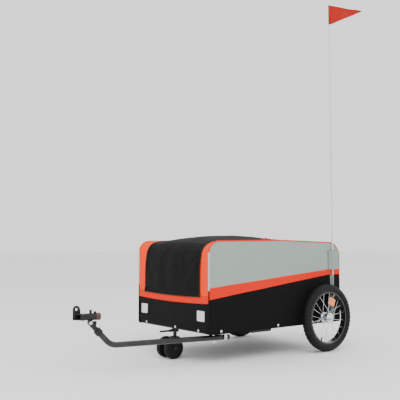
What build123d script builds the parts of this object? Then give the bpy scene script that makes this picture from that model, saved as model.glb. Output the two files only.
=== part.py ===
"""Two-wheeled cargo trailer for a bicycle.

A steel rail frame carries a fabric box with a soft opening cover, two spoked wheels, a
twin-wheel caster under the front rail, a swinging tow bar with an axle coupler, and a
flag on a lift-out pole.

Frame: +X towards the bicycle, +Y to the left, +Z up, ground at z = 0. The origin is on the
ground, in the middle of the trailer's length and width. All sizes are millimetres.
"""

import os
from math import cos, radians, sin

from build123d import *

# ---- driving dimensions -------------------------------------------------------------
# box
FRONT_OVERHANG = 659.0  # wheel axle to the front face of the box
REAR_OVERHANG = 133.0  # wheel axle to the rear face of the box
BOX_W = 524.0
BOX_BOTTOM = 124.0
TOP_FRONT = 500.0  # height of the top edge at the front, middle and rear
TOP_MIDDLE = 505.0
TOP_REAR = 493.0
MIDDLE_AT = 250.0  # middle of the top edge, ahead of the wheel axle
FRONT_CORNER_R = 50.0
REAR_CORNER_R = 66.0
CROWN_R = 1600.0
SKIN = 3.0  # padded fabric
FRONT_HEM = 132.0  # lower edge of the front and rear panels
WINDOW_SILL = 276.0  # top of the fixed front panel, where the cover starts
BORDER_W = 44.0  # fixed border beside the cover
COVER_SEAM = -62.0  # rear seam of the cover, ahead of the wheel axle
COVER_GAP = 1.5

# rails and hoops
RAIL = 20.0
RAIL_WALL = 1.5
HOOP_D = 16.0
HOOP_WALL = 1.5
BAR_FRONT_IN = 84.0  # front cover bar behind the box's front face
BAR_REAR_AT = -30.0  # rear cover bar, ahead of the wheel axle
FLOOR_T = 4.0
FLOOR_GAP = 1.0
SKID_AT = 371.0  # skid block under each side rail, ahead of the wheel axle
SKID_L = 114.0
SKID_H = 12.0
SKID_ROUND = 4.0

# main wheels
WHEEL_D = 305.0
TYRE_W = 44.0
WHEEL_OUT = 38.0  # middle of a wheel outside the side panel
TYRE_WALL = 4.0
RIM_R = 112.0  # inner radius of the rim
RIM_H = 14.0
RIM_W = 28.0
RIM_WALL = 2.0
SPOKES = 20
SPOKE_R = 1.0
FLANGE_R = 23.0
FLANGE_T = 3.0
FLANGE_GAP = 35.0
HUB_W = 40.0
HUB_R = 17.0
AXLE_R = 6.0
BEARING_R = 14.0
BEARING_W = 8.0
RUNNING = 0.05  # radial clearance of a turning fit
AXLE_PLATE_T = 5.0

# caster
CASTER_IN = 19.0  # swivel axis behind the box's front face
CASTER_TRAIL = 27.0
CASTER_WHEEL_R = 45.0
CASTER_WHEEL_W = 22.0
CASTER_SPREAD = 58.0  # centre to centre of the twin wheels
POST_R = 8.0
SOCKET_R = 12.0
CASTER_AXLE_R = 5.0
SWIVEL_R = 5.0
SWIVEL_TOP = 92.0

# tow bar
TOW_D = 22.0
TOW_WALL = 2.0
TOW_Z = 106.5
TOW_YAW = -11.5  # degrees, towards the bicycle's hub
PIVOT_BEHIND = 54.0  # pivot bolt behind the box's front face
PIVOT_IN = 36.0  # pivot bolt inside the side panel's face
TAIL_L = 66.0
TOW_RUN = 440.0  # pivot bolt to the bend
TOW_RISE = 47.2  # degrees
TOW_BEND_R = 55.0
BOLT_R = 4.0
BRACKET_T = 3.0

# coupler, measured along the tow bar from the pivot bolt
PITCH_AT = 522.0
BARREL_Z = 217.5
BARREL_R = 13.0
BARREL_FRONT = 535.0
BARREL_REAR = 500.0
CAP_L = 18.0
YAW_AT = 548.0
EAR_T = 3.5
EYE_R = 11.0
HITCH_PIN_R = 4.0
BIKE_AXLE_R = 5.25
BIKE_AXLE_UP = 27.5  # above the barrel's axis
BIKE_AXLE_AHEAD = 17.0  # ahead of the yaw pin
PLATE_T = 4.0
PLATE_END_R = 14.0

# flag
POLE_R = 3.0
POLE_BEHIND = 80.0  # behind the wheel axle
POLE_OUT = 7.0  # pole axis outside the side panel
POLE_FOOT = 142.0
POLE_TOP = 1644.0
FERRULE_AT = 900.0
FERRULE_L = 44.0
POCKET_GAP = 0.4
FLAG_L = 198.0
FLAG_H = 93.0
FLAG_YAW = 14.0  # degrees outward from straight back
FLAG_T = 1.2

# ---- places worked out from them ----------------------------------------------------
FLAG_REACH = POLE_BEHIND + FLAG_L * cos(radians(FLAG_YAW))
BAR_X = cos(radians(TOW_YAW))
BAR_Y = sin(radians(TOW_YAW))
TOW_REACH = FRONT_OVERHANG - PIVOT_BEHIND + YAW_AT * BAR_X + BIKE_AXLE_AHEAD + PLATE_END_R
AXLE_X = (max(FLAG_REACH, WHEEL_D / 2, REAR_OVERHANG) - TOW_REACH) / 2
AXLE_Z = WHEEL_D / 2
BOX_FRONT = AXLE_X + FRONT_OVERHANG
BOX_REAR = AXLE_X - REAR_OVERHANG
HALF_W = BOX_W / 2
INNER_Y = HALF_W - SKIN
RAIL_Y = INNER_Y - RAIL / 2
RAIL_IN = INNER_Y - RAIL
RAIL_BOTTOM = BOX_BOTTOM + 2.0
RAIL_Z = RAIL_BOTTOM + RAIL / 2
RAIL_TOP = RAIL_BOTTOM + RAIL
HOOP_Y = INNER_Y - HOOP_D / 2
HOOP_INSET = SKIN + HOOP_D / 2
WHEEL_Y = HALF_W + WHEEL_OUT
SEAM_X = AXLE_X + COVER_SEAM
CASTER_X = BOX_FRONT - CASTER_IN
PIVOT_X = BOX_FRONT - PIVOT_BEHIND
POLE_X = AXLE_X - POLE_BEHIND
POLE_Y = HALF_W + POLE_OUT
PIVOT_Y = HALF_W - PIVOT_IN
SIDES = {"left": 1, "right": -1}
FAR = 2000.0  # longer than the trailer, for cutting tools


def upright(y):
    """Plane facing -Y at a given y, so that sketches are drawn in x and z."""
    return Plane.XZ.offset(-y)


def across(x):
    """Plane facing +X at a given x, so that sketches are drawn in y and z."""
    return Plane.YZ.offset(x)


def bar_plane(out=0.0):
    """Upright plane along the tow bar: local x runs from the pivot bolt, local y is up."""
    side = Vector(BAR_Y, -BAR_X, 0)
    start = Vector(PIVOT_X, PIVOT_Y, 0) + side * out
    return Plane(origin=start, x_dir=(BAR_X, BAR_Y, 0), z_dir=side)


def bar_point(along):
    """Place on the tow bar's line, seen from above."""
    return PIVOT_X + along * BAR_X, PIVOT_Y + along * BAR_Y


def outline(inset):
    """Side outline of the box, closed, with its top edge and ends moved in by inset."""
    front = BOX_FRONT - inset
    rear = BOX_REAR + inset
    points = [
        (front, BOX_BOTTOM),
        (front, TOP_FRONT - inset),
        (AXLE_X + MIDDLE_AT, TOP_MIDDLE - inset),
        (rear, TOP_REAR - inset),
        (rear, BOX_BOTTOM),
    ]
    radii = [FRONT_CORNER_R - inset, CROWN_R, REAR_CORNER_R - inset]
    return points, radii


def save(piece, name):
    """Label a finished piece and write it."""
    piece.label = name
    export_step(piece, f"parts/{name}.step")


os.makedirs("parts", exist_ok=True)

# ---- frame --------------------------------------------------------------------------
SCREW_R = 2.5
SCREW_HEAD_R = 5.5
SCREW_HEAD_T = 2.5
FRONT_SCREW_IN = 62.0  # behind the box's front face
SIDE_SCREWS = [AXLE_X + 59.0, AXLE_X + 276.0, BOX_FRONT - FRONT_SCREW_IN]
END_SCREWS = [-0.37 * BOX_W, 0.06 * BOX_W, 0.37 * BOX_W]
SKID_BOLTS = [AXLE_X + SKID_AT + side * 0.35 * SKID_L for side in (-1, 1)]
AXLE_PLATE_W = 56.0
AXLE_PLATE_TOP = AXLE_Z + 20.0
PLATE_BOLTS = [AXLE_X - 18.0, AXLE_X + 18.0]
HOOP_FRONT_X = BOX_FRONT - HOOP_INSET
HOOP_REAR_X = BOX_REAR + HOOP_INSET
FRONT_RAIL_X = BOX_FRONT - SKIN - RAIL / 2
REAR_RAIL_X = BOX_REAR + SKIN + RAIL / 2
BRACKET_L = 64.0
BRACKET_BOLTS = [PIVOT_X - 22.0, PIVOT_X + 22.0]
FRAME_BOLT_R = 3.0
FRAME_BOLT_HEAD_R = 5.5
FRAME_BOLT_HEAD_T = 3.0


def side_discs(side, radius, places, depth):
    """Discs at the rails' height, from one side of the box inwards by depth."""
    with BuildPart() as discs:
        with BuildSketch(upright(side * HALF_W)):
            with Locations(*[(x, RAIL_Z) for x in places]):
                Circle(radius)
        extrude(amount=side * depth)
    return discs.part


def end_discs(x, radius, depth):
    """Discs at the rails' height on an end face at x, reaching by depth along X."""
    with BuildPart() as discs:
        with BuildSketch(across(x)):
            with Locations(*[(y, RAIL_Z) for y in END_SCREWS]):
                Circle(radius)
        extrude(amount=depth)
    return discs.part


def screw_tools(side):
    """Cutting tools for the screw and axle plate holes in one side of the box."""
    depth = SKIN + RAIL_WALL + 1
    screws = side_discs(side, SCREW_R, SIDE_SCREWS, depth)
    plate = side_discs(side, FRAME_BOLT_R, PLATE_BOLTS, depth)
    return [screws, plate]


def side_rail(side):
    """Square tube under one side wall, with its screw, bolt and axle plate holes."""
    with BuildPart() as rail:
        with BuildSketch(across(BOX_REAR + SKIN)):
            with Locations((side * RAIL_Y, RAIL_Z)):
                Rectangle(RAIL, RAIL)
                Rectangle(RAIL - 2 * RAIL_WALL, RAIL - 2 * RAIL_WALL, mode=Mode.SUBTRACT)
        extrude(amount=BOX_FRONT - BOX_REAR - 2 * SKIN)
        add(screw_tools(side), mode=Mode.SUBTRACT)
        with BuildSketch(Plane.XY.offset(RAIL_BOTTOM)):
            bolts = SKID_BOLTS + (BRACKET_BOLTS if side > 0 else [])
            with Locations(*[(x, side * RAIL_Y) for x in bolts]):
                Circle(FRAME_BOLT_R)
        extrude(amount=RAIL, mode=Mode.SUBTRACT)
    return rail.part


for label, side in SIDES.items():
    save(side_rail(side), f"side_rail_{label}")


def cross_rail(x):
    """Square tube across the frame between the side rails."""
    with BuildPart() as rail:
        with BuildSketch(upright(RAIL_IN)):
            with Locations((x, RAIL_Z)):
                Rectangle(RAIL, RAIL)
                Rectangle(RAIL - 2 * RAIL_WALL, RAIL - 2 * RAIL_WALL, mode=Mode.SUBTRACT)
        extrude(amount=2 * RAIL_IN)
    return rail.part


SOCKET_BOTTOM = RAIL_BOTTOM - 16.0
POST_BORE_R = POST_R + RUNNING

with BuildPart() as front_rail:
    add(cross_rail(FRONT_RAIL_X))
    add(end_discs(BOX_FRONT, SCREW_R, -(SKIN + RAIL_WALL + 1)), mode=Mode.SUBTRACT)
    with BuildSketch(Plane.XY.offset(SOCKET_BOTTOM)):
        with Locations((CASTER_X, 0)):
            Circle(SOCKET_R)
    extrude(amount=RAIL_TOP - SOCKET_BOTTOM)
    with BuildSketch(Plane.XY.offset(SOCKET_BOTTOM)):
        with Locations((CASTER_X, 0)):
            Circle(POST_BORE_R)
    extrude(amount=RAIL_TOP - SOCKET_BOTTOM, mode=Mode.SUBTRACT)
save(front_rail.part, "front_rail")

# rear rail and the two beams under the floor
with BuildPart() as cross_rails:
    for x in (REAR_RAIL_X, AXLE_X, AXLE_X + SKID_AT):
        add(cross_rail(x))
    add(end_discs(BOX_REAR, SCREW_R, SKIN + RAIL_WALL + 1), mode=Mode.SUBTRACT)
save(cross_rails.part, "cross_rails")

# skid blocks that the frame stands on when the wheels are off
with BuildPart() as skids:
    with BuildSketch(Plane.XY.offset(RAIL_BOTTOM - SKID_H)):
        with Locations(*[(AXLE_X + SKID_AT, side * RAIL_Y) for side in SIDES.values()]):
            Rectangle(SKID_L, RAIL)
    extrude(amount=SKID_H)
    fillet(skids.edges().filter_by(Axis.Y).group_by(Axis.Z)[0], SKID_ROUND)
    with BuildSketch(Plane.XY.offset(RAIL_BOTTOM - SKID_H)):
        with Locations(*[(x, side * RAIL_Y) for x in SKID_BOLTS for side in SIDES.values()]):
            Circle(FRAME_BOLT_R)
    extrude(amount=SKID_H, mode=Mode.SUBTRACT)
save(skids.part, "skid_blocks")

def side_hoop(side):
    """Round tube that stands on a side rail and carries the side panel and the cover."""
    points, radii = outline(HOOP_INSET)
    points[0] = (points[0][0], RAIL_TOP)
    points[-1] = (points[-1][0], RAIL_TOP)
    with BuildPart() as hoop:
        with BuildLine(upright(side * HOOP_Y)) as path:
            FilletPolyline(*points, radius=radii)
        with BuildSketch(Plane.XY.offset(RAIL_TOP)):
            with Locations((HOOP_FRONT_X, side * HOOP_Y)):
                Circle(HOOP_D / 2)
                Circle(HOOP_D / 2 - HOOP_WALL, mode=Mode.SUBTRACT)
        sweep(path=path.line)
    return hoop.part


for label, side in SIDES.items():
    save(side_hoop(side), f"side_hoop_{label}")


def hoop_height(x):
    """Height of the hoops' centre line over the straight runs of the top edge."""
    middle = AXLE_X + MIDDLE_AT
    if x > middle:
        slope = (TOP_FRONT - TOP_MIDDLE) / (BOX_FRONT - middle)
    else:
        slope = (TOP_MIDDLE - TOP_REAR) / (middle - BOX_REAR)
    return TOP_MIDDLE + slope * (x - middle) - HOOP_INSET


CLIP_L = 26.0
CLIP_DROP = 14.0
CLIP_REACH = 18.0
CLIP_EASE = 1.0
BAR_DROP = 1.5  # cover bars below the hoops' centre line, clear of the cover


def cover_bar(x):
    """Round tube between the hoops, under the cover."""
    with BuildPart() as bar:
        with BuildSketch(upright(HOOP_Y - HOOP_D / 2)):
            with Locations((x, hoop_height(x) - BAR_DROP)):
                Circle(HOOP_D / 2)
                Circle(HOOP_D / 2 - HOOP_WALL, mode=Mode.SUBTRACT)
        extrude(amount=2 * HOOP_Y - HOOP_D)
    return bar.part


BAR_PLACES = [BOX_FRONT - BAR_FRONT_IN, AXLE_X + BAR_REAR_AT]
with BuildPart() as cover_bars:
    for x in BAR_PLACES:
        add(cover_bar(x))
save(cover_bars.part, "cover_bars")


def bar_clip(x, side):
    """Moulded clip that hangs a cover bar on a hoop, under both tubes."""
    z = hoop_height(x) - BAR_DROP
    with BuildPart() as clip:
        with BuildSketch(across(x)):
            with Locations((side * (HOOP_Y - CLIP_REACH / 2), z - CLIP_DROP / 2)):
                Rectangle(HOOP_D + CLIP_REACH, CLIP_DROP)
        extrude(amount=CLIP_L / 2, both=True)
        with BuildSketch(upright(HOOP_Y + HOOP_D)):
            with Locations((x, z)):
                Circle(HOOP_D / 2)
        extrude(amount=2 * (HOOP_Y + HOOP_D), mode=Mode.SUBTRACT)
        with BuildSketch(across(x)):
            with Locations((side * HOOP_Y, z + BAR_DROP)):
                Circle(HOOP_D / 2 + CLIP_EASE)
        extrude(amount=CLIP_L, both=True, mode=Mode.SUBTRACT)
    return clip.part


with BuildPart() as bar_clips:
    for x in BAR_PLACES:
        for side in SIDES.values():
            add(bar_clip(x, side))
save(bar_clips.part, "bar_clips")

with BuildPart() as floor_board:
    with BuildSketch(Plane.XY.offset(RAIL_TOP)):
        front = HOOP_FRONT_X - HOOP_D / 2 - FLOOR_GAP
        rear = HOOP_REAR_X + HOOP_D / 2 + FLOOR_GAP
        with Locations(((front + rear) / 2, 0)):
            Rectangle(front - rear, 2 * (HOOP_Y - HOOP_D / 2 - FLOOR_GAP))
        bolts = [(x, side * RAIL_Y) for x in SKID_BOLTS + BRACKET_BOLTS for side in SIDES.values()]
        with Locations(*bolts):
            Circle(FRAME_BOLT_HEAD_R, mode=Mode.SUBTRACT)
    extrude(amount=FLOOR_T)
save(floor_board.part, "floor_board")

# ---- fabric box ---------------------------------------------------------------------


def band(low_x, high_x, low_z, low_y, high_y):
    """Strip of the box's skin along the top path, cut to an x range, a height and a width."""
    outer, outer_radii = outline(0.0)
    inner, inner_radii = outline(SKIN)
    with BuildPart() as strip:
        with BuildSketch(upright(high_y)):
            with BuildLine():
                FilletPolyline(*outer, radius=outer_radii)
                Line(outer[-1], outer[0])
            make_face()
            with BuildLine():
                FilletPolyline(*inner, radius=inner_radii)
                Line(inner[-1], inner[0])
            make_face(mode=Mode.SUBTRACT)
            with Locations(((low_x + high_x) / 2, low_z + FAR / 2)):
                Rectangle(high_x - low_x, FAR, mode=Mode.INTERSECT)
        extrude(amount=high_y - low_y)
    return strip.part


def side_panel(side):
    """Flat padded side wall inside the box outline."""
    points, radii = outline(0.0)
    start = HALF_W if side > 0 else -INNER_Y
    with BuildPart() as panel:
        with BuildSketch(upright(start)):
            with BuildLine():
                FilletPolyline(*points, radius=radii)
                Line(points[-1], points[0])
            make_face()
        extrude(amount=SKIN)
        add(screw_tools(side), mode=Mode.SUBTRACT)
    return panel.part


for label, side in SIDES.items():
    save(side_panel(side), f"side_panel_{label}")

with BuildPart() as front_panel:
    add(band(AXLE_X + MIDDLE_AT, BOX_FRONT, FRONT_HEM, -INNER_Y, INNER_Y))
    with BuildSketch(across(BOX_FRONT + 1)):
        with Locations((0, WINDOW_SILL + FAR / 2)):
            Rectangle(FAR, FAR)
    extrude(amount=-FAR, mode=Mode.SUBTRACT)
    add(end_discs(BOX_FRONT, SCREW_R, -(SKIN + 1)), mode=Mode.SUBTRACT)
save(front_panel.part, "front_panel")


def border(side):
    """Fixed strip beside the cover, from the sill over the top to the cover's rear seam."""
    inner = INNER_Y - BORDER_W
    low_y, high_y = (inner, INNER_Y) if side > 0 else (-INNER_Y, -inner)
    return band(SEAM_X, BOX_FRONT, WINDOW_SILL, low_y, high_y)


with BuildPart() as cover_borders:
    for side in SIDES.values():
        add(border(side))
save(cover_borders.part, "cover_borders")

with BuildPart() as rear_panel:
    add(band(BOX_REAR, SEAM_X, FRONT_HEM, -INNER_Y, INNER_Y))
    add(end_discs(BOX_REAR, SCREW_R, SKIN + 1), mode=Mode.SUBTRACT)
save(rear_panel.part, "rear_panel")

cover_y = INNER_Y - BORDER_W - COVER_GAP
save(band(SEAM_X + COVER_GAP, BOX_FRONT, WINDOW_SILL + COVER_GAP, -cover_y, cover_y), "cover")

with BuildPart() as panel_screws:
    for side in SIDES.values():
        add(side_discs(side, SCREW_HEAD_R, SIDE_SCREWS, -SCREW_HEAD_T))
        add(side_discs(side, SCREW_R, SIDE_SCREWS, SKIN + RAIL_WALL))
    for x, out in ((BOX_FRONT, 1), (BOX_REAR, -1)):
        add(end_discs(x, SCREW_HEAD_R, out * SCREW_HEAD_T))
        add(end_discs(x, SCREW_R, -out * (SKIN + RAIL_WALL)))
save(panel_screws.part, "panel_screws")

REFLECTOR_W = 48.0
REFLECTOR_H = 42.0
REFLECTOR_T = 3.0
REFLECTOR_Z = 196.0
REFLECTOR_ROUND = 4.0
REFLECTOR_Y = HALF_W - 52.0

for label, x, out in (("front", BOX_FRONT, 1), ("rear", BOX_REAR, -1)):
    with BuildPart() as reflectors:
        with BuildSketch(across(x)):
            with Locations(*[(side * REFLECTOR_Y, REFLECTOR_Z) for side in SIDES.values()]):
                RectangleRounded(REFLECTOR_W, REFLECTOR_H, REFLECTOR_ROUND)
        extrude(amount=out * REFLECTOR_T)
    save(reflectors.part, f"{label}_reflectors")

# ---- main wheels --------------------------------------------------------------------
AXLE_SHOULDER_R = 9.0
SIDE_PLAY = 0.15
WASHER_R = 11.0
WASHER_T = 2.0
NUT_AF = 19.0
NUT_T = 8.0
AXLE_END = 2.0
AXLE_LENGTH = WHEEL_Y - HALF_W + HUB_W / 2 + SIDE_PLAY + WASHER_T + NUT_T + AXLE_END
SPOKE_START_R = 19.5
SPOKE_LACE = 26.0  # degrees from the flange hole to the rim hole
SPOKE_LIFT = 0.9  # spoke off the flange face
NIPPLE_R = 2.0
NIPPLE_L = 9.0
VALVE_R = 3.0
VALVE_L = 34.0
VALVE_LEAN = 22.0  # degrees ahead of straight down
WHEEL_REFLECTOR_R = 78.0
WHEEL_REFLECTOR_LEAN = 26.0  # degrees behind straight up
WHEEL_REFLECTOR_H = 34.0
WHEEL_REFLECTOR_W = 40.0
WHEEL_REFLECTOR_T = 4.0
TYRE_R = 0.5 * (WHEEL_D / 2 - RIM_R)  # section radius of the tyre


def wheel_plane(side):
    """Plane at a wheel's middle; its local z points away from the trailer."""
    return Plane(origin=(AXLE_X, side * WHEEL_Y, AXLE_Z), x_dir=(1, 0, 0), z_dir=(0, side, 0))


def section_plane(side):
    """Plane through a wheel's axis: local x is the radius, local y points outwards."""
    return Plane(origin=(AXLE_X, side * WHEEL_Y, AXLE_Z), x_dir=(1, 0, 0), z_dir=(0, 0, side))


def wheel_axis(side):
    """A wheel's turning axis."""
    return Axis((AXLE_X, side * WHEEL_Y, AXLE_Z), (0, 1, 0))


def tyre(side):
    """Hollow tyre that grips the rim's edges."""
    middle = WHEEL_D / 2 - TYRE_R
    with BuildPart() as body:
        with BuildSketch(section_plane(side)):
            with Locations((middle, 0)):
                Ellipse(TYRE_R, TYRE_W / 2)
                Ellipse(TYRE_R - TYRE_WALL, TYRE_W / 2 - TYRE_WALL, mode=Mode.SUBTRACT)
            with Locations((RIM_R, 0)):
                Rectangle(2 * RIM_H, RIM_W, mode=Mode.SUBTRACT)
        revolve(axis=wheel_axis(side))
    return body.part


def valve_frame(side):
    """Plane at the rim's inner face whose local z points along the valve to the hub."""
    lean = radians(VALVE_LEAN)
    out = Vector(sin(lean), 0, -cos(lean))
    start = Vector(AXLE_X, side * WHEEL_Y, AXLE_Z) + out * (RIM_R + RIM_H)
    return Plane(origin=start, x_dir=(0, 1, 0), z_dir=-out)


def valve(side, radius, length):
    """Valve stem, or the tool for its hole when it is made wider."""
    with BuildPart() as body:
        with BuildSketch(valve_frame(side)):
            Circle(radius)
        extrude(amount=length)
    return body.part


def rim(side):
    """Hollow box rim with raised edges, spoke holes and a valve hole."""
    with BuildPart() as body:
        with BuildSketch(section_plane(side)):
            with Locations((RIM_R + RIM_H / 2, 0)):
                Rectangle(RIM_H, RIM_W)
            with Locations((RIM_R + RIM_WALL + RIM_H / 2, 0)):
                Rectangle(RIM_H, RIM_W - 2 * RIM_WALL, mode=Mode.SUBTRACT)
        revolve(axis=wheel_axis(side))
        add(valve(side, VALVE_R + POCKET_GAP, VALVE_L), mode=Mode.SUBTRACT)
        add(spokes(side, NIPPLE_R, NIPPLE_R), mode=Mode.SUBTRACT)
    return body.part


def spoke_line(side, count):
    """Start at the hub flange and end outside the rim of one spoke."""
    hub_side = 1 if count % 2 else -1
    outer_face = 1 if count // 2 % 2 else -1
    rim_turn = radians(360.0 / SPOKES * (count + 0.5))
    hub_turn = rim_turn + radians(SPOKE_LACE * outer_face)
    lift = FLANGE_T / 2 + SPOKE_R + SPOKE_LIFT
    hub_y = hub_side * (FLANGE_GAP / 2 + outer_face * lift)
    middle = Vector(AXLE_X, side * WHEEL_Y, AXLE_Z)
    start = middle + Vector(
        SPOKE_START_R * cos(hub_turn), side * hub_y, SPOKE_START_R * sin(hub_turn)
    )
    reach = RIM_R + RIM_WALL
    end = middle + Vector(reach * cos(rim_turn), 0, reach * sin(rim_turn))
    return start, end


def spokes(side, shaft_r, nipple_r):
    """All spokes of one wheel with their nipples through the rim."""
    with BuildPart() as body:
        for count in range(SPOKES):
            start, end = spoke_line(side, count)
            run = end - start
            with BuildSketch(Plane(origin=start, z_dir=run)):
                Circle(shaft_r)
            extrude(amount=run.length)
            with BuildSketch(Plane(origin=end, z_dir=-run)):
                Circle(nipple_r)
            extrude(amount=NIPPLE_L)
    return body.part


def hub(side):
    """Hub shell with two flanges and a bearing seat at each end."""
    with BuildPart() as body:
        with BuildSketch(section_plane(side)):
            with Locations((HUB_R / 2, 0)):
                Rectangle(HUB_R, HUB_W)
            for flange in (-1, 1):
                with Locations((FLANGE_R / 2, flange * FLANGE_GAP / 2)):
                    Rectangle(FLANGE_R, FLANGE_T)
                with Locations((BEARING_R / 2, flange * (HUB_W - BEARING_W) / 2)):
                    Rectangle(BEARING_R, BEARING_W, mode=Mode.SUBTRACT)
            with Locations((0, 0)):
                Rectangle(2 * (BEARING_R - 3.0), HUB_W, mode=Mode.SUBTRACT)
        revolve(axis=wheel_axis(side))
    return body.part


def bearings(side):
    """Two sealed ball bearings in the hub's seats."""
    with BuildPart() as body:
        with BuildSketch(section_plane(side)):
            for end in (-1, 1):
                with Locations(((BEARING_R + AXLE_R + RUNNING) / 2, end * (HUB_W - BEARING_W) / 2)):
                    Rectangle(BEARING_R - AXLE_R - RUNNING, BEARING_W)
        revolve(axis=wheel_axis(side))
    return body.part


def axle(side):
    """Stub axle with a shoulder against the wheel's inner bearing, pressed in its plate."""
    plate_in = HALF_W - WHEEL_Y
    shoulder_out = -HUB_W / 2 - SIDE_PLAY
    with BuildPart() as body:
        with BuildSketch(wheel_plane(side).offset(plate_in)):
            Circle(AXLE_R)
        extrude(amount=AXLE_LENGTH)
        with BuildSketch(wheel_plane(side).offset(plate_in + AXLE_PLATE_T)):
            Circle(AXLE_SHOULDER_R)
        extrude(amount=shoulder_out - plate_in - AXLE_PLATE_T)
    return body.part


def axle_nut(side):
    """Washer and nut that hold a wheel on its axle."""
    with BuildPart() as body:
        with BuildSketch(wheel_plane(side).offset(HUB_W / 2 + SIDE_PLAY)):
            Circle(WASHER_R)
            Circle(AXLE_R, mode=Mode.SUBTRACT)
        extrude(amount=WASHER_T)
        with BuildSketch(wheel_plane(side).offset(HUB_W / 2 + SIDE_PLAY + WASHER_T)):
            RegularPolygon(NUT_AF / 2, 6, major_radius=False)
            Circle(AXLE_R, mode=Mode.SUBTRACT)
        extrude(amount=NUT_T)
    return body.part





def axle_plate(side):
    """Steel plate bolted through the side panel to the rail, with the axle's bore."""
    top = AXLE_PLATE_TOP
    low = RAIL_BOTTOM
    with BuildPart() as plate:
        with BuildSketch(upright(side * HALF_W)):
            with Locations((AXLE_X, (top + low) / 2)):
                RectangleRounded(AXLE_PLATE_W, top - low, 6.0)
            with Locations((AXLE_X, AXLE_Z)):
                Circle(AXLE_R, mode=Mode.SUBTRACT)
            with Locations(*[(x, RAIL_Z) for x in PLATE_BOLTS]):
                Circle(FRAME_BOLT_R, mode=Mode.SUBTRACT)
        extrude(amount=-side * AXLE_PLATE_T)
    return plate.part


def wheel_reflector(side):
    """Amber reflector clipped between the spokes."""
    lean = radians(WHEEL_REFLECTOR_LEAN)
    place = Vector(-sin(lean), 0, cos(lean)) * WHEEL_REFLECTOR_R
    middle = Vector(AXLE_X, side * WHEEL_Y, AXLE_Z) + place
    face = Plane(origin=middle, x_dir=(cos(lean), 0, sin(lean)), z_dir=(0, side, 0))
    with BuildPart() as body:
        with BuildSketch(face):
            RectangleRounded(WHEEL_REFLECTOR_W, WHEEL_REFLECTOR_H, 6.0)
        extrude(amount=WHEEL_REFLECTOR_T / 2, both=True)
    return body.part


for label, side in SIDES.items():
    save(tyre(side), f"tyre_{label}")
    save(rim(side), f"rim_{label}")
    save(spokes(side, SPOKE_R, NIPPLE_R), f"spokes_{label}")
    save(hub(side), f"hub_{label}")
    save(bearings(side), f"bearings_{label}")
    save(valve(side, VALVE_R, VALVE_L), f"valve_{label}")
    save(wheel_reflector(side), f"wheel_reflector_{label}")

for name, maker in (("axles", axle), ("axle_nuts", axle_nut), ("axle_plates", axle_plate)):
    with BuildPart() as pair:
        for side in SIDES.values():
            add(maker(side))
    save(pair.part, name)

with BuildPart() as frame_bolts:
    for x, y, low in (
        *[(x, side * RAIL_Y, RAIL_BOTTOM - SKID_H) for x in SKID_BOLTS for side in SIDES.values()],
        *[(x, RAIL_Y, RAIL_BOTTOM - BRACKET_T) for x in BRACKET_BOLTS],
    ):
        with BuildSketch(Plane.XY.offset(low)):
            with Locations((x, y)):
                Circle(FRAME_BOLT_HEAD_R)
        extrude(amount=-FRAME_BOLT_HEAD_T)
        with BuildSketch(Plane.XY.offset(low)):
            with Locations((x, y)):
                Circle(FRAME_BOLT_R)
        extrude(amount=RAIL_TOP - low)
    for side in SIDES.values():
        with BuildSketch(upright(side * (HALF_W + AXLE_PLATE_T))):
            with Locations(*[(x, RAIL_Z) for x in PLATE_BOLTS]):
                Circle(FRAME_BOLT_HEAD_R)
        extrude(amount=-side * FRAME_BOLT_HEAD_T)
        with BuildSketch(upright(side * (HALF_W + AXLE_PLATE_T))):
            with Locations(*[(x, RAIL_Z) for x in PLATE_BOLTS]):
                Circle(FRAME_BOLT_R)
        extrude(amount=side * (AXLE_PLATE_T + SKIN + RAIL_WALL))
save(frame_bolts.part, "frame_bolts")

# ---- caster -------------------------------------------------------------------------
CLAMP_R = 17.0
CLAMP_H = 10.0
CLAMP_ABOVE = 1.0
CLAMP_Z = SOCKET_BOTTOM + CLAMP_ABOVE
LEVER_L = 52.0
LEVER_W = 15.0
LEVER_T = 6.0
LEVER_PIN_R = 3.0
LEVER_PIN_GAP = 8.0
LEVER_PIN_X = CASTER_X + CLAMP_R + LEVER_PIN_GAP
EAR_WALL = 3.0
POST_BELOW = 0.5  # post's end below the floor board
POST_TOP = RAIL_TOP - POST_BELOW
POST_CHAMFER = 1.5
WHEEL_EASE = 1.0  # between the fork and each caster wheel
FORK_HALF_W = 0.5 * (CASTER_SPREAD - CASTER_WHEEL_W) - WHEEL_EASE
FORK_R = 15.0
FORK_HEAD_T = 18.0
FORK_CORNER_R = 6.0
FORK_GAP = 1.0  # under the post's shoulder
BORE_RELIEF = 2.0
CASTER_AXLE_X = CASTER_X + CASTER_TRAIL
CASTER_AXLE_Z = CASTER_WHEEL_R

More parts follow.
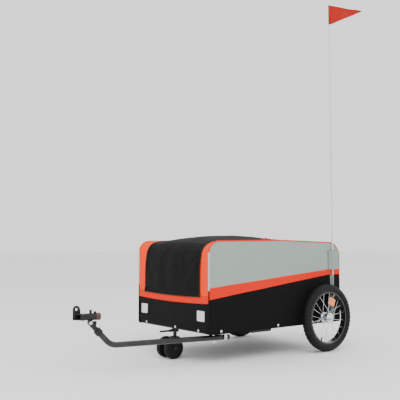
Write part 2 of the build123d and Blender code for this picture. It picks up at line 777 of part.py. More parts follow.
# clamp ring on the socket's lower end, with the ears that hold the lever's pin
with BuildPart() as caster_clamp:
    with BuildSketch(Plane.XY.offset(CLAMP_Z)):
        with Locations((CASTER_X, 0)):
            Circle(CLAMP_R)
        with Locations(((CASTER_X + LEVER_PIN_X) / 2, 0)):
            Rectangle(LEVER_PIN_X - CASTER_X, 2 * (LEVER_PIN_R + EAR_WALL))
        with Locations((LEVER_PIN_X, 0)):
            Circle(LEVER_PIN_R + EAR_WALL)
        with Locations((CASTER_X, 0)):
            Circle(SOCKET_R, mode=Mode.SUBTRACT)
    extrude(amount=CLAMP_H)
    with BuildSketch(Plane.XY.offset(CLAMP_Z + (CLAMP_H - LEVER_T) / 2 - SIDE_PLAY)):
        with Locations((LEVER_PIN_X, 0)):
            Rectangle(LEVER_W + 2 * SIDE_PLAY, 4 * LEVER_W)
    extrude(amount=LEVER_T + 2 * SIDE_PLAY, mode=Mode.SUBTRACT)
    with BuildSketch(Plane.XY.offset(CLAMP_Z)):
        with Locations((LEVER_PIN_X, 0)):
            Circle(LEVER_PIN_R)
    extrude(amount=CLAMP_H)
save(caster_clamp.part, "caster_clamp")

with BuildPart() as caster_lever:
    with BuildSketch(Plane.XY.offset(CLAMP_Z + (CLAMP_H - LEVER_T) / 2)):
        with Locations((LEVER_PIN_X, 0)):
            Circle(2 * LEVER_PIN_R - SIDE_PLAY)
        with Locations((LEVER_PIN_X + LEVER_L / 2, 0)):
            SlotOverall(LEVER_L + LEVER_PIN_R, LEVER_W)
            SlotOverall(LEVER_L - LEVER_W, LEVER_W / 3, mode=Mode.SUBTRACT)
        with Locations((LEVER_PIN_X, 0)):
            Circle(2 * LEVER_PIN_R - SIDE_PLAY)
            Circle(LEVER_PIN_R + RUNNING, mode=Mode.SUBTRACT)
    extrude(amount=LEVER_T)
save(caster_lever.part, "caster_lever")

with BuildPart() as caster_post:
    with BuildSketch(Plane.XY.offset(SWIVEL_TOP)):
        with Locations((CASTER_X, 0)):
            Circle(POST_R)
    extrude(amount=POST_TOP - SWIVEL_TOP)
    with BuildSketch(Plane.XY.offset(SWIVEL_TOP)):
        with Locations((CASTER_X, 0)):
            Circle(SWIVEL_R)
    extrude(amount=-FORK_HEAD_T)
    chamfer(caster_post.edges().group_by(Axis.Z)[-1], POST_CHAMFER)
save(caster_post.part, "caster_post")

with BuildPart() as caster_fork:
    with BuildSketch(upright(FORK_HALF_W)):
        with BuildLine():
            rise = (CASTER_X - FORK_R, SWIVEL_TOP - FORK_GAP)
            Polyline(
                rise,
                (CASTER_X + FORK_R, SWIVEL_TOP - FORK_GAP),
                (CASTER_AXLE_X + FORK_R, CASTER_AXLE_Z + FORK_CORNER_R),
                (CASTER_AXLE_X + FORK_R, CASTER_AXLE_Z - FORK_R),
                (CASTER_AXLE_X - FORK_R, CASTER_AXLE_Z - FORK_R),
                (CASTER_X - FORK_R, SWIVEL_TOP - FORK_HEAD_T - FORK_CORNER_R),
                rise,
            )
        make_face()
        fillet(vertices(), FORK_CORNER_R)
    extrude(amount=2 * FORK_HALF_W)
    with BuildSketch(Plane.XY.offset(SWIVEL_TOP)):
        with Locations((CASTER_X, 0)):
            Circle(SWIVEL_R + RUNNING)
    extrude(amount=-FORK_HEAD_T - BORE_RELIEF, mode=Mode.SUBTRACT)
    with BuildSketch(upright(FORK_HALF_W)):
        with Locations((CASTER_AXLE_X, CASTER_AXLE_Z)):
            Circle(CASTER_AXLE_R)
    extrude(amount=2 * FORK_HALF_W, mode=Mode.SUBTRACT)
save(caster_fork.part, "caster_fork")

CASTER_AXLE_HALF = (CASTER_SPREAD + CASTER_WHEEL_W) / 2 + SIDE_PLAY
CASTER_CAP_R = 9.0
CASTER_CAP_T = 3.0
CAP_ROUND = 1.5
TREAD_ROUND = 6.0

with BuildPart() as caster_axle:
    with BuildSketch(upright(CASTER_AXLE_HALF)):
        with Locations((CASTER_AXLE_X, CASTER_AXLE_Z)):
            Circle(CASTER_AXLE_R)
    extrude(amount=2 * CASTER_AXLE_HALF)
    for side in SIDES.values():
        with BuildSketch(upright(side * CASTER_AXLE_HALF)):
            with Locations((CASTER_AXLE_X, CASTER_AXLE_Z)):
                Circle(CASTER_CAP_R)
        extrude(amount=-side * CASTER_CAP_T)
    fillet(caster_axle.faces().sort_by(Axis.Y)[0].edges(), CAP_ROUND)
    fillet(caster_axle.faces().sort_by(Axis.Y)[-1].edges(), CAP_ROUND)
save(caster_axle.part, "caster_axle")


def caster_wheel(side):
    """Moulded caster wheel with a rounded tread and a dished outer face."""
    middle = side * CASTER_SPREAD / 2
    with BuildPart() as wheel:
        with BuildSketch(upright(middle)):
            with Locations((CASTER_AXLE_X, CASTER_AXLE_Z)):
                Circle(CASTER_WHEEL_R)
                Circle(CASTER_AXLE_R + RUNNING, mode=Mode.SUBTRACT)
        extrude(amount=CASTER_WHEEL_W / 2, both=True)
        rims = wheel.edges().filter_by(GeomType.CIRCLE).sort_by(SortBy.RADIUS)[-2:]
        fillet(rims, TREAD_ROUND)
        with BuildSketch(upright(middle + side * CASTER_WHEEL_W / 2)):
            with Locations((CASTER_AXLE_X, CASTER_AXLE_Z)):
                Circle(CASTER_WHEEL_R - 12.0)
                Circle(CASTER_CAP_R + 2.0, mode=Mode.SUBTRACT)
        extrude(amount=side * 4.0, mode=Mode.SUBTRACT)
    return wheel.part


for label, side in SIDES.items():
    save(caster_wheel(side), f"caster_wheel_{label}")

# ---- tow bar ------------------------------------------------------------------------
BRACKET_TOP = RAIL_BOTTOM
BRACKET_Z = BRACKET_TOP - BRACKET_T
TOW_TOP = TOW_Z + TOW_D / 2
TOW_UNDER = TOW_Z - TOW_D / 2
BUSH_R = 12.0
BOLT_HEAD_AF = 13.0
BOLT_HEAD_T = 5.3
BOLT_NUT_T = 7.0
BOLT_END = 4.0
BRACKET_IN = PIVOT_Y - 18.0
HOOK_T = 2.5
HOOK_W = 14.0
HOOK_GAP = 2.6
HOOK_AT = -TAIL_L + 22.0

with BuildPart() as towbar_bracket:
    with BuildSketch(Plane.XY.offset(BRACKET_Z)):
        with Locations((PIVOT_X, (BRACKET_IN + INNER_Y) / 2)):
            RectangleRounded(BRACKET_L, INNER_Y - BRACKET_IN, 6.0)
        with Locations((PIVOT_X, PIVOT_Y)):
            Circle(BOLT_R, mode=Mode.SUBTRACT)
        with Locations(*[(x, RAIL_Y) for x in BRACKET_BOLTS]):
            Circle(FRAME_BOLT_R, mode=Mode.SUBTRACT)
    extrude(amount=BRACKET_T)
save(towbar_bracket.part, "towbar_bracket")

with BuildPart() as pivot_bush:
    with BuildSketch(Plane.XY.offset(TOW_TOP + SIDE_PLAY)):
        with Locations((PIVOT_X, PIVOT_Y)):
            Circle(BUSH_R)
            Circle(BOLT_R, mode=Mode.SUBTRACT)
    extrude(amount=BRACKET_Z - TOW_TOP - SIDE_PLAY)
save(pivot_bush.part, "pivot_bush")

with BuildPart() as pivot_bolt:
    with BuildSketch(Plane.XY.offset(BRACKET_TOP)):
        with Locations((PIVOT_X, PIVOT_Y)):
            RegularPolygon(BOLT_HEAD_AF / 2, 6, major_radius=False)
    extrude(amount=BOLT_HEAD_T)
    with BuildSketch(Plane.XY.offset(BRACKET_TOP)):
        with Locations((PIVOT_X, PIVOT_Y)):
            Circle(BOLT_R)
    extrude(amount=TOW_UNDER - BOLT_NUT_T - BOLT_END - BRACKET_TOP)
    with BuildSketch(Plane.XY.offset(TOW_UNDER - SIDE_PLAY)):
        with Locations((PIVOT_X, PIVOT_Y)):
            RegularPolygon(BOLT_HEAD_AF / 2, 6, major_radius=False)
    extrude(amount=-BOLT_NUT_T)
save(pivot_bolt.part, "pivot_bolt")

# hook that the bar's tail rests in, open towards the middle of the trailer
hook_x, hook_y = bar_point(HOOK_AT)
HOOK_R = TOW_D / 2 + HOOK_GAP

with BuildPart() as towbar_hook:
    with BuildSketch(across(hook_x - HOOK_W / 2)):
        with BuildLine():
            outer = hook_y + HOOK_R + HOOK_T
            inner = hook_y + HOOK_R
            Line((inner, RAIL_BOTTOM), (outer, RAIL_BOTTOM))
            Line((outer, RAIL_BOTTOM), (outer, TOW_Z))
            RadiusArc((outer, TOW_Z), (hook_y, TOW_Z - HOOK_R - HOOK_T), HOOK_R + HOOK_T)
            Line((hook_y, TOW_Z - HOOK_R - HOOK_T), (hook_y, TOW_Z - HOOK_R))
            RadiusArc((hook_y, TOW_Z - HOOK_R), (inner, TOW_Z), -HOOK_R)
            Line((inner, TOW_Z), (inner, RAIL_BOTTOM))
        make_face()
    extrude(amount=HOOK_W)
save(towbar_hook.part, "towbar_hook")

SLOPE = Vector(cos(radians(TOW_RISE)), sin(radians(TOW_RISE)))
PITCH_Z = TOW_Z + (PITCH_AT - TOW_RUN) * SLOPE.Y / SLOPE.X
ARM_L = 42.0  # pitch pin to the end of the tube
BORE_DEEP = 16.0  # tube end inside the yoke
tube_end = (PITCH_AT - ARM_L * SLOPE.X, PITCH_Z - ARM_L * SLOPE.Y)

with BuildPart() as towbar_tube:
    with BuildLine(bar_plane()) as route:
        FilletPolyline((-TAIL_L, TOW_Z), (TOW_RUN, TOW_Z), tube_end, radius=TOW_BEND_R)
    with BuildSketch(Plane(origin=route.line @ 0, z_dir=route.line % 0)):
        Circle(TOW_D / 2)
        Circle(TOW_D / 2 - TOW_WALL, mode=Mode.SUBTRACT)
    sweep(path=route.line)
    with BuildSketch(Plane.XY.offset(TOW_UNDER - 1)):
        with Locations((PIVOT_X, PIVOT_Y)):
            Circle(BOLT_R + RUNNING)
    extrude(amount=TOW_D + 2, mode=Mode.SUBTRACT)
save(towbar_tube.part, "towbar_tube")

YOKE_R = TOW_D / 2 + 3.5
ARM_IN = 6.4  # half the gap between the yoke's arms
ARM_OUT = 10.6
ARM_EYE_R = 8.0
BASE_L = 20.0
PITCH_PIN_R = 4.0
PIN_HEAD_R = 6.5
PIN_HEAD_T = 3.0


def slope_plane(along):
    """Plane across the tube's sloping run, a distance short of the pitch pin."""
    local = Vector(PITCH_AT - along * SLOPE.X, PITCH_Z - along * SLOPE.Y, 0)
    origin = bar_plane().from_local_coords(local)
    up = Vector(SLOPE.X * BAR_X, SLOPE.X * BAR_Y, SLOPE.Y)
    return Plane(origin=origin, x_dir=(-BAR_Y, BAR_X, 0), z_dir=up)


with BuildPart() as hitch_yoke:
    with BuildSketch(slope_plane(ARM_L + BORE_DEEP)):
        Circle(YOKE_R)
    extrude(amount=BASE_L)
    with BuildSketch(slope_plane(ARM_L + BORE_DEEP)):
        Circle(TOW_D / 2 + RUNNING)
    extrude(amount=BORE_DEEP + SIDE_PLAY, mode=Mode.SUBTRACT)
    for out in (ARM_OUT, -ARM_IN):
        with BuildSketch(bar_plane(out)):
            with Locations((PITCH_AT, PITCH_Z)):
                Circle(ARM_EYE_R)
            with BuildLine():
                reach = ARM_L + BORE_DEEP - BASE_L
                low = Vector(PITCH_AT, PITCH_Z) - SLOPE * reach
                wide = Vector(-SLOPE.Y, SLOPE.X) * ARM_EYE_R
                top = Vector(PITCH_AT, PITCH_Z)
                Polyline(low + wide, top + wide, top - wide, low - wide, low + wide)
            make_face()
        extrude(amount=-(ARM_OUT - ARM_IN))
    with BuildSketch(bar_plane(ARM_OUT)):
        with Locations((PITCH_AT, PITCH_Z)):
            Circle(PITCH_PIN_R)
    extrude(amount=-2 * ARM_OUT, mode=Mode.SUBTRACT)
save(hitch_yoke.part, "hitch_yoke")

with BuildPart() as pitch_pin:
    with BuildSketch(bar_plane(ARM_OUT)):
        with Locations((PITCH_AT, PITCH_Z)):
            Circle(PITCH_PIN_R)
    extrude(amount=-2 * ARM_OUT)
    for out in (1, -1):
        with BuildSketch(bar_plane(out * ARM_OUT)):
            with Locations((PITCH_AT, PITCH_Z)):
                Circle(PIN_HEAD_R)
        extrude(amount=out * PIN_HEAD_T)
save(pitch_pin.part, "pitch_pin")

yaw_x, yaw_y = bar_point(YAW_AT)
LUG_HALF_H = 8.0
LUG_HALF_W = ARM_IN - 0.4


def along_plane(along):
    """Plane across the barrel's axis, facing the bicycle."""
    origin = bar_plane().from_local_coords(Vector(along, BARREL_Z, 0))
    return Plane(origin=origin, x_dir=(-BAR_Y, BAR_X, 0), z_dir=(BAR_X, BAR_Y, 0))


with BuildPart() as hitch_barrel:
    with BuildSketch(along_plane(BARREL_REAR)):
        Circle(BARREL_R)
    extrude(amount=BARREL_FRONT - BARREL_REAR)
    with BuildSketch(Plane.XY.offset(BARREL_Z - LUG_HALF_H)):
        with Locations((yaw_x, yaw_y)):
            Circle(EYE_R)
        with Locations(Location(Vector(*bar_point((YAW_AT + BARREL_FRONT) / 2)), (0, 0, TOW_YAW))):
            Rectangle(YAW_AT - BARREL_FRONT + 4.0, 2 * EYE_R)
    extrude(amount=2 * LUG_HALF_H)
    with BuildSketch(bar_plane(LUG_HALF_W)):
        with Locations((PITCH_AT, PITCH_Z)):
            Circle(ARM_EYE_R)
        with Locations((PITCH_AT, (PITCH_Z + BARREL_Z) / 2)):
            Rectangle(2 * ARM_EYE_R, BARREL_Z - PITCH_Z)
    extrude(amount=-2 * LUG_HALF_W)
    with BuildSketch(bar_plane(ARM_IN)):
        with Locations((PITCH_AT, PITCH_Z)):
            Circle(PITCH_PIN_R + RUNNING)
    extrude(amount=-2 * ARM_IN, mode=Mode.SUBTRACT)
    with BuildSketch(Plane.XY.offset(BARREL_Z - LUG_HALF_H)):
        with Locations((yaw_x, yaw_y)):
            Circle(HITCH_PIN_R + RUNNING)
    extrude(amount=2 * LUG_HALF_H, mode=Mode.SUBTRACT)
save(hitch_barrel.part, "hitch_barrel")

with BuildPart() as barrel_cap:
    with BuildSketch(along_plane(BARREL_REAR)):
        Circle(BARREL_R + 0.8)
    extrude(amount=-CAP_L)
    fillet(barrel_cap.edges().sort_by(Axis.X)[0], 3.0)
save(barrel_cap.part, "barrel_cap")

# bracket on the bicycle's rear axle: an upright plate and two ears round the yaw pin
BIKE_AXLE_X = yaw_x + BIKE_AXLE_AHEAD
BIKE_AXLE_Z = BARREL_Z + BIKE_AXLE_UP
PLATE_Y = yaw_y - 20.7
PLATE_REAR = yaw_x + 1.0
EAR_GAP = 0.3
EAR_LOW = BARREL_Z - LUG_HALF_H - EAR_GAP - EAR_T
EAR_HIGH = BARREL_Z + LUG_HALF_H + EAR_GAP

with BuildPart() as axle_bracket:
    with BuildSketch(upright(PLATE_Y)):
        with Locations((BIKE_AXLE_X, BIKE_AXLE_Z)):
            Circle(PLATE_END_R)
        with Locations(((PLATE_REAR + BIKE_AXLE_X + PLATE_END_R) / 2, (EAR_LOW + BIKE_AXLE_Z) / 2)):
            Rectangle(BIKE_AXLE_X + PLATE_END_R - PLATE_REAR, BIKE_AXLE_Z - EAR_LOW)
        with Locations((BIKE_AXLE_X, BIKE_AXLE_Z)):
            Circle(BIKE_AXLE_R, mode=Mode.SUBTRACT)
    extrude(amount=PLATE_T)
    for low in (EAR_LOW, EAR_HIGH):
        with BuildSketch(Plane.XY.offset(low)):
            with Locations((yaw_x, yaw_y)):
                Circle(EYE_R)
            with BuildLine():
                Polyline(
                    (yaw_x - EYE_R, yaw_y),
                    (yaw_x + 1.0, PLATE_Y),
                    (BIKE_AXLE_X + EYE_R, PLATE_Y),
                    (yaw_x + EYE_R, yaw_y),
                    (yaw_x - EYE_R, yaw_y),
                )
            make_face()
            with Locations((yaw_x, yaw_y)):
                Circle(HITCH_PIN_R + RUNNING, mode=Mode.SUBTRACT)
        extrude(amount=EAR_T)
save(axle_bracket.part, "axle_bracket")

PIN_BELOW = 4.0
KNOB_R = 7.0
KNOB_H = 6.0

with BuildPart() as hitch_pin:
    with BuildSketch(Plane.XY.offset(EAR_LOW - PIN_BELOW)):
        with Locations((yaw_x, yaw_y)):
            Circle(HITCH_PIN_R)
    extrude(amount=EAR_HIGH + EAR_T - EAR_LOW + PIN_BELOW)
    with BuildSketch(Plane.XY.offset(EAR_HIGH + EAR_T)):
        with Locations((yaw_x, yaw_y)):
            Circle(KNOB_R)
    extrude(amount=KNOB_H)
    fillet(hitch_pin.edges().group_by(Axis.Z)[-1], 2.0)
save(hitch_pin.part, "hitch_pin")

# ---- flag ---------------------------------------------------------------------------
SLEEVE_LOW = POLE_FOOT - 3.0
SLEEVE_TOP = 343.0
SLEEVE_W = 27.0
POCKET_LOW = 369.0
POCKET_TOP = 458.0
POCKET_W = 79.0
POCKET_X = BOX_REAR + POCKET_W / 2
POCKET_SKIN = 1.5
TUNNEL_R = POLE_R + POCKET_GAP
FERRULE_R = 4.2
HEM_R = POLE_R + 1.0


def pocket(x, width, low, high, floor=0.0):
    """Patch sewn on the left side panel with a tunnel for the flag pole, closed below floor."""
    with BuildPart() as patch:
        with BuildSketch(Plane.XY.offset(low)):
            with Locations((x, HALF_W + POCKET_SKIN / 2)):
                Rectangle(width, POCKET_SKIN)
            with Locations((POLE_X, (HALF_W + POLE_Y) / 2)):
                Rectangle(2 * (TUNNEL_R + POCKET_SKIN), POLE_Y - HALF_W)
            with Locations((POLE_X, POLE_Y)):
                Circle(TUNNEL_R + POCKET_SKIN)
                Circle(TUNNEL_R, mode=Mode.SUBTRACT)
        extrude(amount=high - low)
        if floor > low:
            with BuildSketch(Plane.XY.offset(low)):
                with Locations((POLE_X, POLE_Y)):
                    Circle(TUNNEL_R)
            extrude(amount=floor - low)
    return patch.part


with BuildPart() as flag_pockets:
    add(pocket(POLE_X, SLEEVE_W, SLEEVE_LOW, SLEEVE_TOP, floor=POLE_FOOT))
    add(pocket(POCKET_X, POCKET_W, POCKET_LOW, POCKET_TOP))
save(flag_pockets.part, "flag_pockets")


def rod(low, high, radius):
    """Upright round piece on the flag pole's axis."""
    with BuildPart() as piece:
        with BuildSketch(Plane.XY.offset(low)):
            with Locations((POLE_X, POLE_Y)):
                Circle(radius)
        extrude(amount=high - low)
    return piece.part


save(rod(POLE_FOOT, FERRULE_AT, POLE_R), "pole_lower")
save(rod(FERRULE_AT, POLE_TOP, POLE_R), "pole_upper")

with BuildPart() as pole_ferrule:
    with BuildSketch(Plane.XY.offset(FERRULE_AT - FERRULE_L / 2)):
        with Locations((POLE_X, POLE_Y)):
            Circle(FERRULE_R)
            Circle(POLE_R, mode=Mode.SUBTRACT)
    extrude(amount=FERRULE_L)
save(pole_ferrule.part, "pole_ferrule")

with BuildPart() as pennant:
    yaw = radians(FLAG_YAW)
    along = Vector(-cos(yaw), sin(yaw), 0)
    start = Vector(POLE_X, POLE_Y, 0)
    sheet = Plane(origin=start, x_dir=along, z_dir=along.cross(Vector(0, 0, 1)))
    with BuildSketch(sheet):
        with BuildLine():
            Polyline(
                (0, POLE_TOP),
                (FLAG_L, POLE_TOP),
                (FLAG_L, POLE_TOP - 2.0),
                (0, POLE_TOP - FLAG_H),
                (0, POLE_TOP),
            )
        make_face()
    extrude(amount=FLAG_T / 2, both=True)
    with BuildSketch(Plane.XY.offset(POLE_TOP - FLAG_H)):
        with Locations((POLE_X, POLE_Y)):
            Circle(HEM_R)
    extrude(amount=FLAG_H)
    with BuildSketch(Plane.XY.offset(POLE_TOP - FLAG_H - 1)):
        with Locations((POLE_X, POLE_Y)):
            Circle(POLE_R)
    extrude(amount=FLAG_H + 2, mode=Mode.SUBTRACT)
save(pennant.part, "pennant")
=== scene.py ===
"""Bicycle cargo trailer: fabric, rubber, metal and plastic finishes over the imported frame.

Everything is in metres in the frame's own axes: +X to the bicycle, +Y left, +Z up.
"""

import logging
import math
from collections.abc import Callable
from dataclasses import dataclass, field
from enum import Enum

import bmesh
import bpy
from mathutils import Matrix, Vector, noise

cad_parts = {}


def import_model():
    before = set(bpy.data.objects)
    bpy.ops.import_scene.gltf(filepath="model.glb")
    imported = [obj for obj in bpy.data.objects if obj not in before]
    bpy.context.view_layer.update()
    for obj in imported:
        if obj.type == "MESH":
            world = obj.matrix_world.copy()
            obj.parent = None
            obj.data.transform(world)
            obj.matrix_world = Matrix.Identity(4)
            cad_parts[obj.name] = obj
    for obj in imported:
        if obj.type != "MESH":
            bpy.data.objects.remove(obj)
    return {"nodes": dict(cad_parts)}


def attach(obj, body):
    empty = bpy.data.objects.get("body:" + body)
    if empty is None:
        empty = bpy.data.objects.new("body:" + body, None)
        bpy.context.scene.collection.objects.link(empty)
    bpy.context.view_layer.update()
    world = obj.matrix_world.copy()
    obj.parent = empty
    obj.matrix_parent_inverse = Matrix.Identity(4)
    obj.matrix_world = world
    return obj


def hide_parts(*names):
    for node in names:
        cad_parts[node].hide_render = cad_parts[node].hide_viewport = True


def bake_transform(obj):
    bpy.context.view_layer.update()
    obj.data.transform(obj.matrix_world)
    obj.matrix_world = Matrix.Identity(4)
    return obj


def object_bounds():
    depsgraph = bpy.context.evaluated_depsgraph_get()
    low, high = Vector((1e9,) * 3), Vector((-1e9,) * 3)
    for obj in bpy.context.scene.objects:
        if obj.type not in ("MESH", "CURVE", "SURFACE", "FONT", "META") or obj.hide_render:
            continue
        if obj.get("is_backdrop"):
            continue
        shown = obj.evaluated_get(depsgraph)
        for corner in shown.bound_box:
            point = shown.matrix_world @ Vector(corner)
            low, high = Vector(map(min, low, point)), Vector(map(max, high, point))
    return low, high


LOG = logging.getLogger("trailer")
MERGE = 1e-6  # vertices closer than this become one
TINY = 1e-9  # a length that counts as none
MILLIMETRE = 1000  # in a metre
WAVE_PERIOD = 0.31416  # from band to band of a wave texture at scale 1
MATH, MIX, RANGE = "ShaderNodeMath", "ShaderNodeMix", "ShaderNodeMapRange"
NOISE, BUMP = "ShaderNodeTexNoise", "ShaderNodeBump"
COLOUR_MIX = {"data_type": "RGBA"}
COVER_BEND = "cover_bend"  # cloth of the soft cover and its side zips, left on no body with the transform baked


class Side(Enum):
    """A side of the trailer, with its sign along Y."""

    LEFT = 1
    RIGHT = -1

    @property
    def label(self) -> str:
        """The side's name as the frame's nodes have it."""
        return self.name.lower()


# ---- finishes -----------------------------------------------------------------------


def linear(code: str) -> tuple[float, float, float, float]:
    """Turn an sRGB hex colour to linear light.

    Args:
        code: six hex digits, with or without a leading #.

    Returns:
        The colour as linear RGB with full alpha.
    """
    parts = [int(code.lstrip("#")[i : i + 2], 16) / 255 for i in (0, 2, 4)]
    light = [c / 12.92 if c <= 0.04045 else ((c + 0.055) / 1.055) ** 2.4 for c in parts]
    return (*light, 1.0)


def add_node(
    tree: bpy.types.NodeTree,
    kind: str,
    settings: dict[str, object] | None = None,
    inputs: dict[str | int, object] | None = None,
) -> bpy.types.Node:
    """Add a node with its settings, values and links.

    Args:
        tree: the node tree.
        kind: the node's type name.
        settings: attributes of the node.
        inputs: input name or index to a value, or to the socket that feeds it.

    Returns:
        The new node.
    """
    node = tree.nodes.new(kind)
    for key, value in (settings or {}).items():
        setattr(node, key, value)
    for key, value in (inputs or {}).items():
        if isinstance(value, bpy.types.NodeSocket):
            tree.links.new(value, node.inputs[key])
        else:
            node.inputs[key].default_value = value
    return node


@dataclass(frozen=True)
class Finish:
    """A hard surface with a fine grain, uneven gloss and a little wear.

    Grain is the size of the surface's texture in millimetres and depth its height. A
    broad noise makes the clouds: gloss varies over cloud_range by gloss_spread, and the
    worn colour comes in over wear_range.
    """

    name: str
    colour: str
    roughness: float
    metallic: float = 0.0
    ior: float = 1.5
    coat: float = 0.0
    specular: float = 0.5
    grain_mm: float = 1.0
    depth_mm: float = 0.02
    worn: str = ""
    wear: float = 0.0
    wear_range: tuple[float, float] = (0.52, 0.75)
    bump: float = 0.6
    coat_roughness: float = 0.15
    cloud_scale: float = 28.0
    cloud_range: tuple[float, float] = (0.3, 0.7)
    gloss_spread: tuple[float, float] = (0.82, 1.2)

    def build(self) -> bpy.types.Material:
        """Make the material.

        Returns:
            The material, ready for a mesh.
        """
        material = bpy.data.materials.new(self.name)
        material.use_nodes = True
        tree = material.node_tree
        shader = tree.nodes["Principled BSDF"]
        shader.inputs["Metallic"].default_value = self.metallic
        shader.inputs["IOR"].default_value = self.ior
        shader.inputs["Coat Weight"].default_value = self.coat
        shader.inputs["Coat Roughness"].default_value = self.coat_roughness
        shader.inputs["Specular IOR Level"].default_value = self.specular
        self.dress(tree, shader)
        return material

    def dress(self, tree: bpy.types.NodeTree, shader: bpy.types.Node) -> None:
        """Feed the shader's colour, roughness and normal.

        Args:
            tree: the material's node tree.
            shader: its Principled shader.
        """
        place = add_node(tree, "ShaderNodeTexCoord").outputs["Object"]
        scale = MILLIMETRE / self.grain_mm
        grain = add_node(tree, NOISE, None, {"Vector": place, "Scale": scale}).outputs["Fac"]
        cloud = add_node(
            tree, NOISE, None, {"Vector": place, "Scale": self.cloud_scale, "Detail": 4.0}
        ).outputs["Fac"]
        low, high = self.cloud_range
        glossy, dull = self.gloss_spread
        gloss = add_node(
            tree,
            RANGE,
            None,
            {
                "Value": cloud,
                "From Min": low,
                "From Max": high,
                "To Min": self.roughness * glossy,
                "To Max": min(1.0, self.roughness * dull),
            },
        )
        tree.links.new(gloss.outputs[0], shader.inputs["Roughness"])
        low, high = self.wear_range
        patch = add_node(
            tree,
            RANGE,
            None,
            {"Value": cloud, "From Min": low, "From Max": high, "To Max": self.wear},
        ).outputs[0]
        fresh, worn = linear(self.colour), linear(self.worn or self.colour)
        colour = add_node(tree, MIX, COLOUR_MIX, {0: patch, 6: fresh, 7: worn}).outputs[2]
        tree.links.new(colour, shader.inputs["Base Color"])
        depth = self.depth_mm / MILLIMETRE
        bump = add_node(
            tree, BUMP, None, {"Height": grain, "Strength": self.bump, "Distance": depth}
        )
        tree.links.new(bump.outputs[0], shader.inputs["Normal"])


@dataclass(frozen=True)
class Cloth(Finish):
    """Woven polyester: crossing threads, a soft sheen, and creases with painted shade in them.

    The piece's UV map is in metres. Real threads are 0.35 mm apart, too fine to show, so
    thread_mm draws them coarser.
    """

    specular: float = 0.12
    thread_mm: float = 1.8
    thread_depth_mm: float = 0.25
    thread_bump: float = 0.45
    thread_waver: float = 0.4
    sheen: float = 0.25
    sheen_roughness: float = 0.5
    crease_mm: float = 1.2
    crease_size_mm: float = 70.0
    crease_bump: float = 0.8
    crease_warp: float = 0.6
    # painted shade in the creases: the largest share of darkened colour, and how far the colour is
    # darkened
    crease_shade: float = 0.16
    crease_shade_tone: float = 0.72

    def dress(self, tree: bpy.types.NodeTree, shader: bpy.types.Node) -> None:
        """Feed the shader with the cloth's colour, weave and creases, with painted shade darkening
        the colour along the creases.

        Args:
            tree: the material's node tree.
            shader: its Principled shader.
        """
        shader.inputs["Sheen Weight"].default_value = self.sheen
        shader.inputs["Sheen Roughness"].default_value = self.sheen_roughness
        shader.inputs["Roughness"].default_value = self.roughness
        coords = add_node(tree, "ShaderNodeTexCoord")
        threads = [
            add_node(
                tree,
                "ShaderNodeTexWave",
                {"bands_direction": direction},
                {
                    "Vector": coords.outputs["UV"],
                    "Scale": WAVE_PERIOD / (self.thread_mm / MILLIMETRE),
                    "Distortion": self.thread_waver,
                },
            ).outputs["Fac"]
            for direction in ("X", "Y")
        ]
        weave = add_node(
            tree, MATH, {"operation": "MAXIMUM"}, {0: threads[0], 1: threads[1]}
        ).outputs[0]
        crease = add_node(
            tree,
            NOISE,
            None,
            {
                "Vector": coords.outputs["Object"],
                "Scale": MILLIMETRE / self.crease_size_mm,
                "Detail": 5.0,
                "Distortion": self.crease_warp,
            },
        ).outputs["Fac"]
        low, high = self.cloud_range
        # painted shade: the crease noise sets how much of the colour is darkened
        shade = add_node(
            tree,
            RANGE,
            None,
            {"Value": crease, "From Min": low, "From Max": high, "To Max": self.crease_shade},
        ).outputs[0]
        base = self.pattern(tree, coords.outputs["Object"])
        tone = (self.crease_shade_tone, self.crease_shade_tone, self.crease_shade_tone, 1.0)
        # painted shade: the colour multiplied down, then mixed in by that share
        dark = add_node(
            tree, MIX, {**COLOUR_MIX, "blend_type": "MULTIPLY"}, {0: 1.0, 6: base, 7: tone}
        ).outputs[2]
        colour = add_node(tree, MIX, COLOUR_MIX, {0: shade, 6: base, 7: dark}).outputs[2]
        tree.links.new(colour, shader.inputs["Base Color"])
        normal = None
        for height, strength, depth_mm in (
            (crease, self.crease_bump, self.crease_mm),
            (weave, self.thread_bump, self.thread_depth_mm),
        ):
            bump = {"Height": height, "Strength": strength, "Distance": depth_mm / MILLIMETRE}
            if normal:
                bump["Normal"] = normal
            normal = add_node(tree, BUMP, None, bump).outputs[0]
        tree.links.new(normal, shader.inputs["Normal"])

    def pattern(
        self, tree: bpy.types.NodeTree, place: bpy.types.NodeSocket
    ) -> bpy.types.NodeSocket:
        """Give the cloth's colour before its creases shade it, the same at every place."""
        node = add_node(tree, "ShaderNodeRGB")
        node.outputs[0].default_value = linear(self.colour)
        return node.outputs[0]


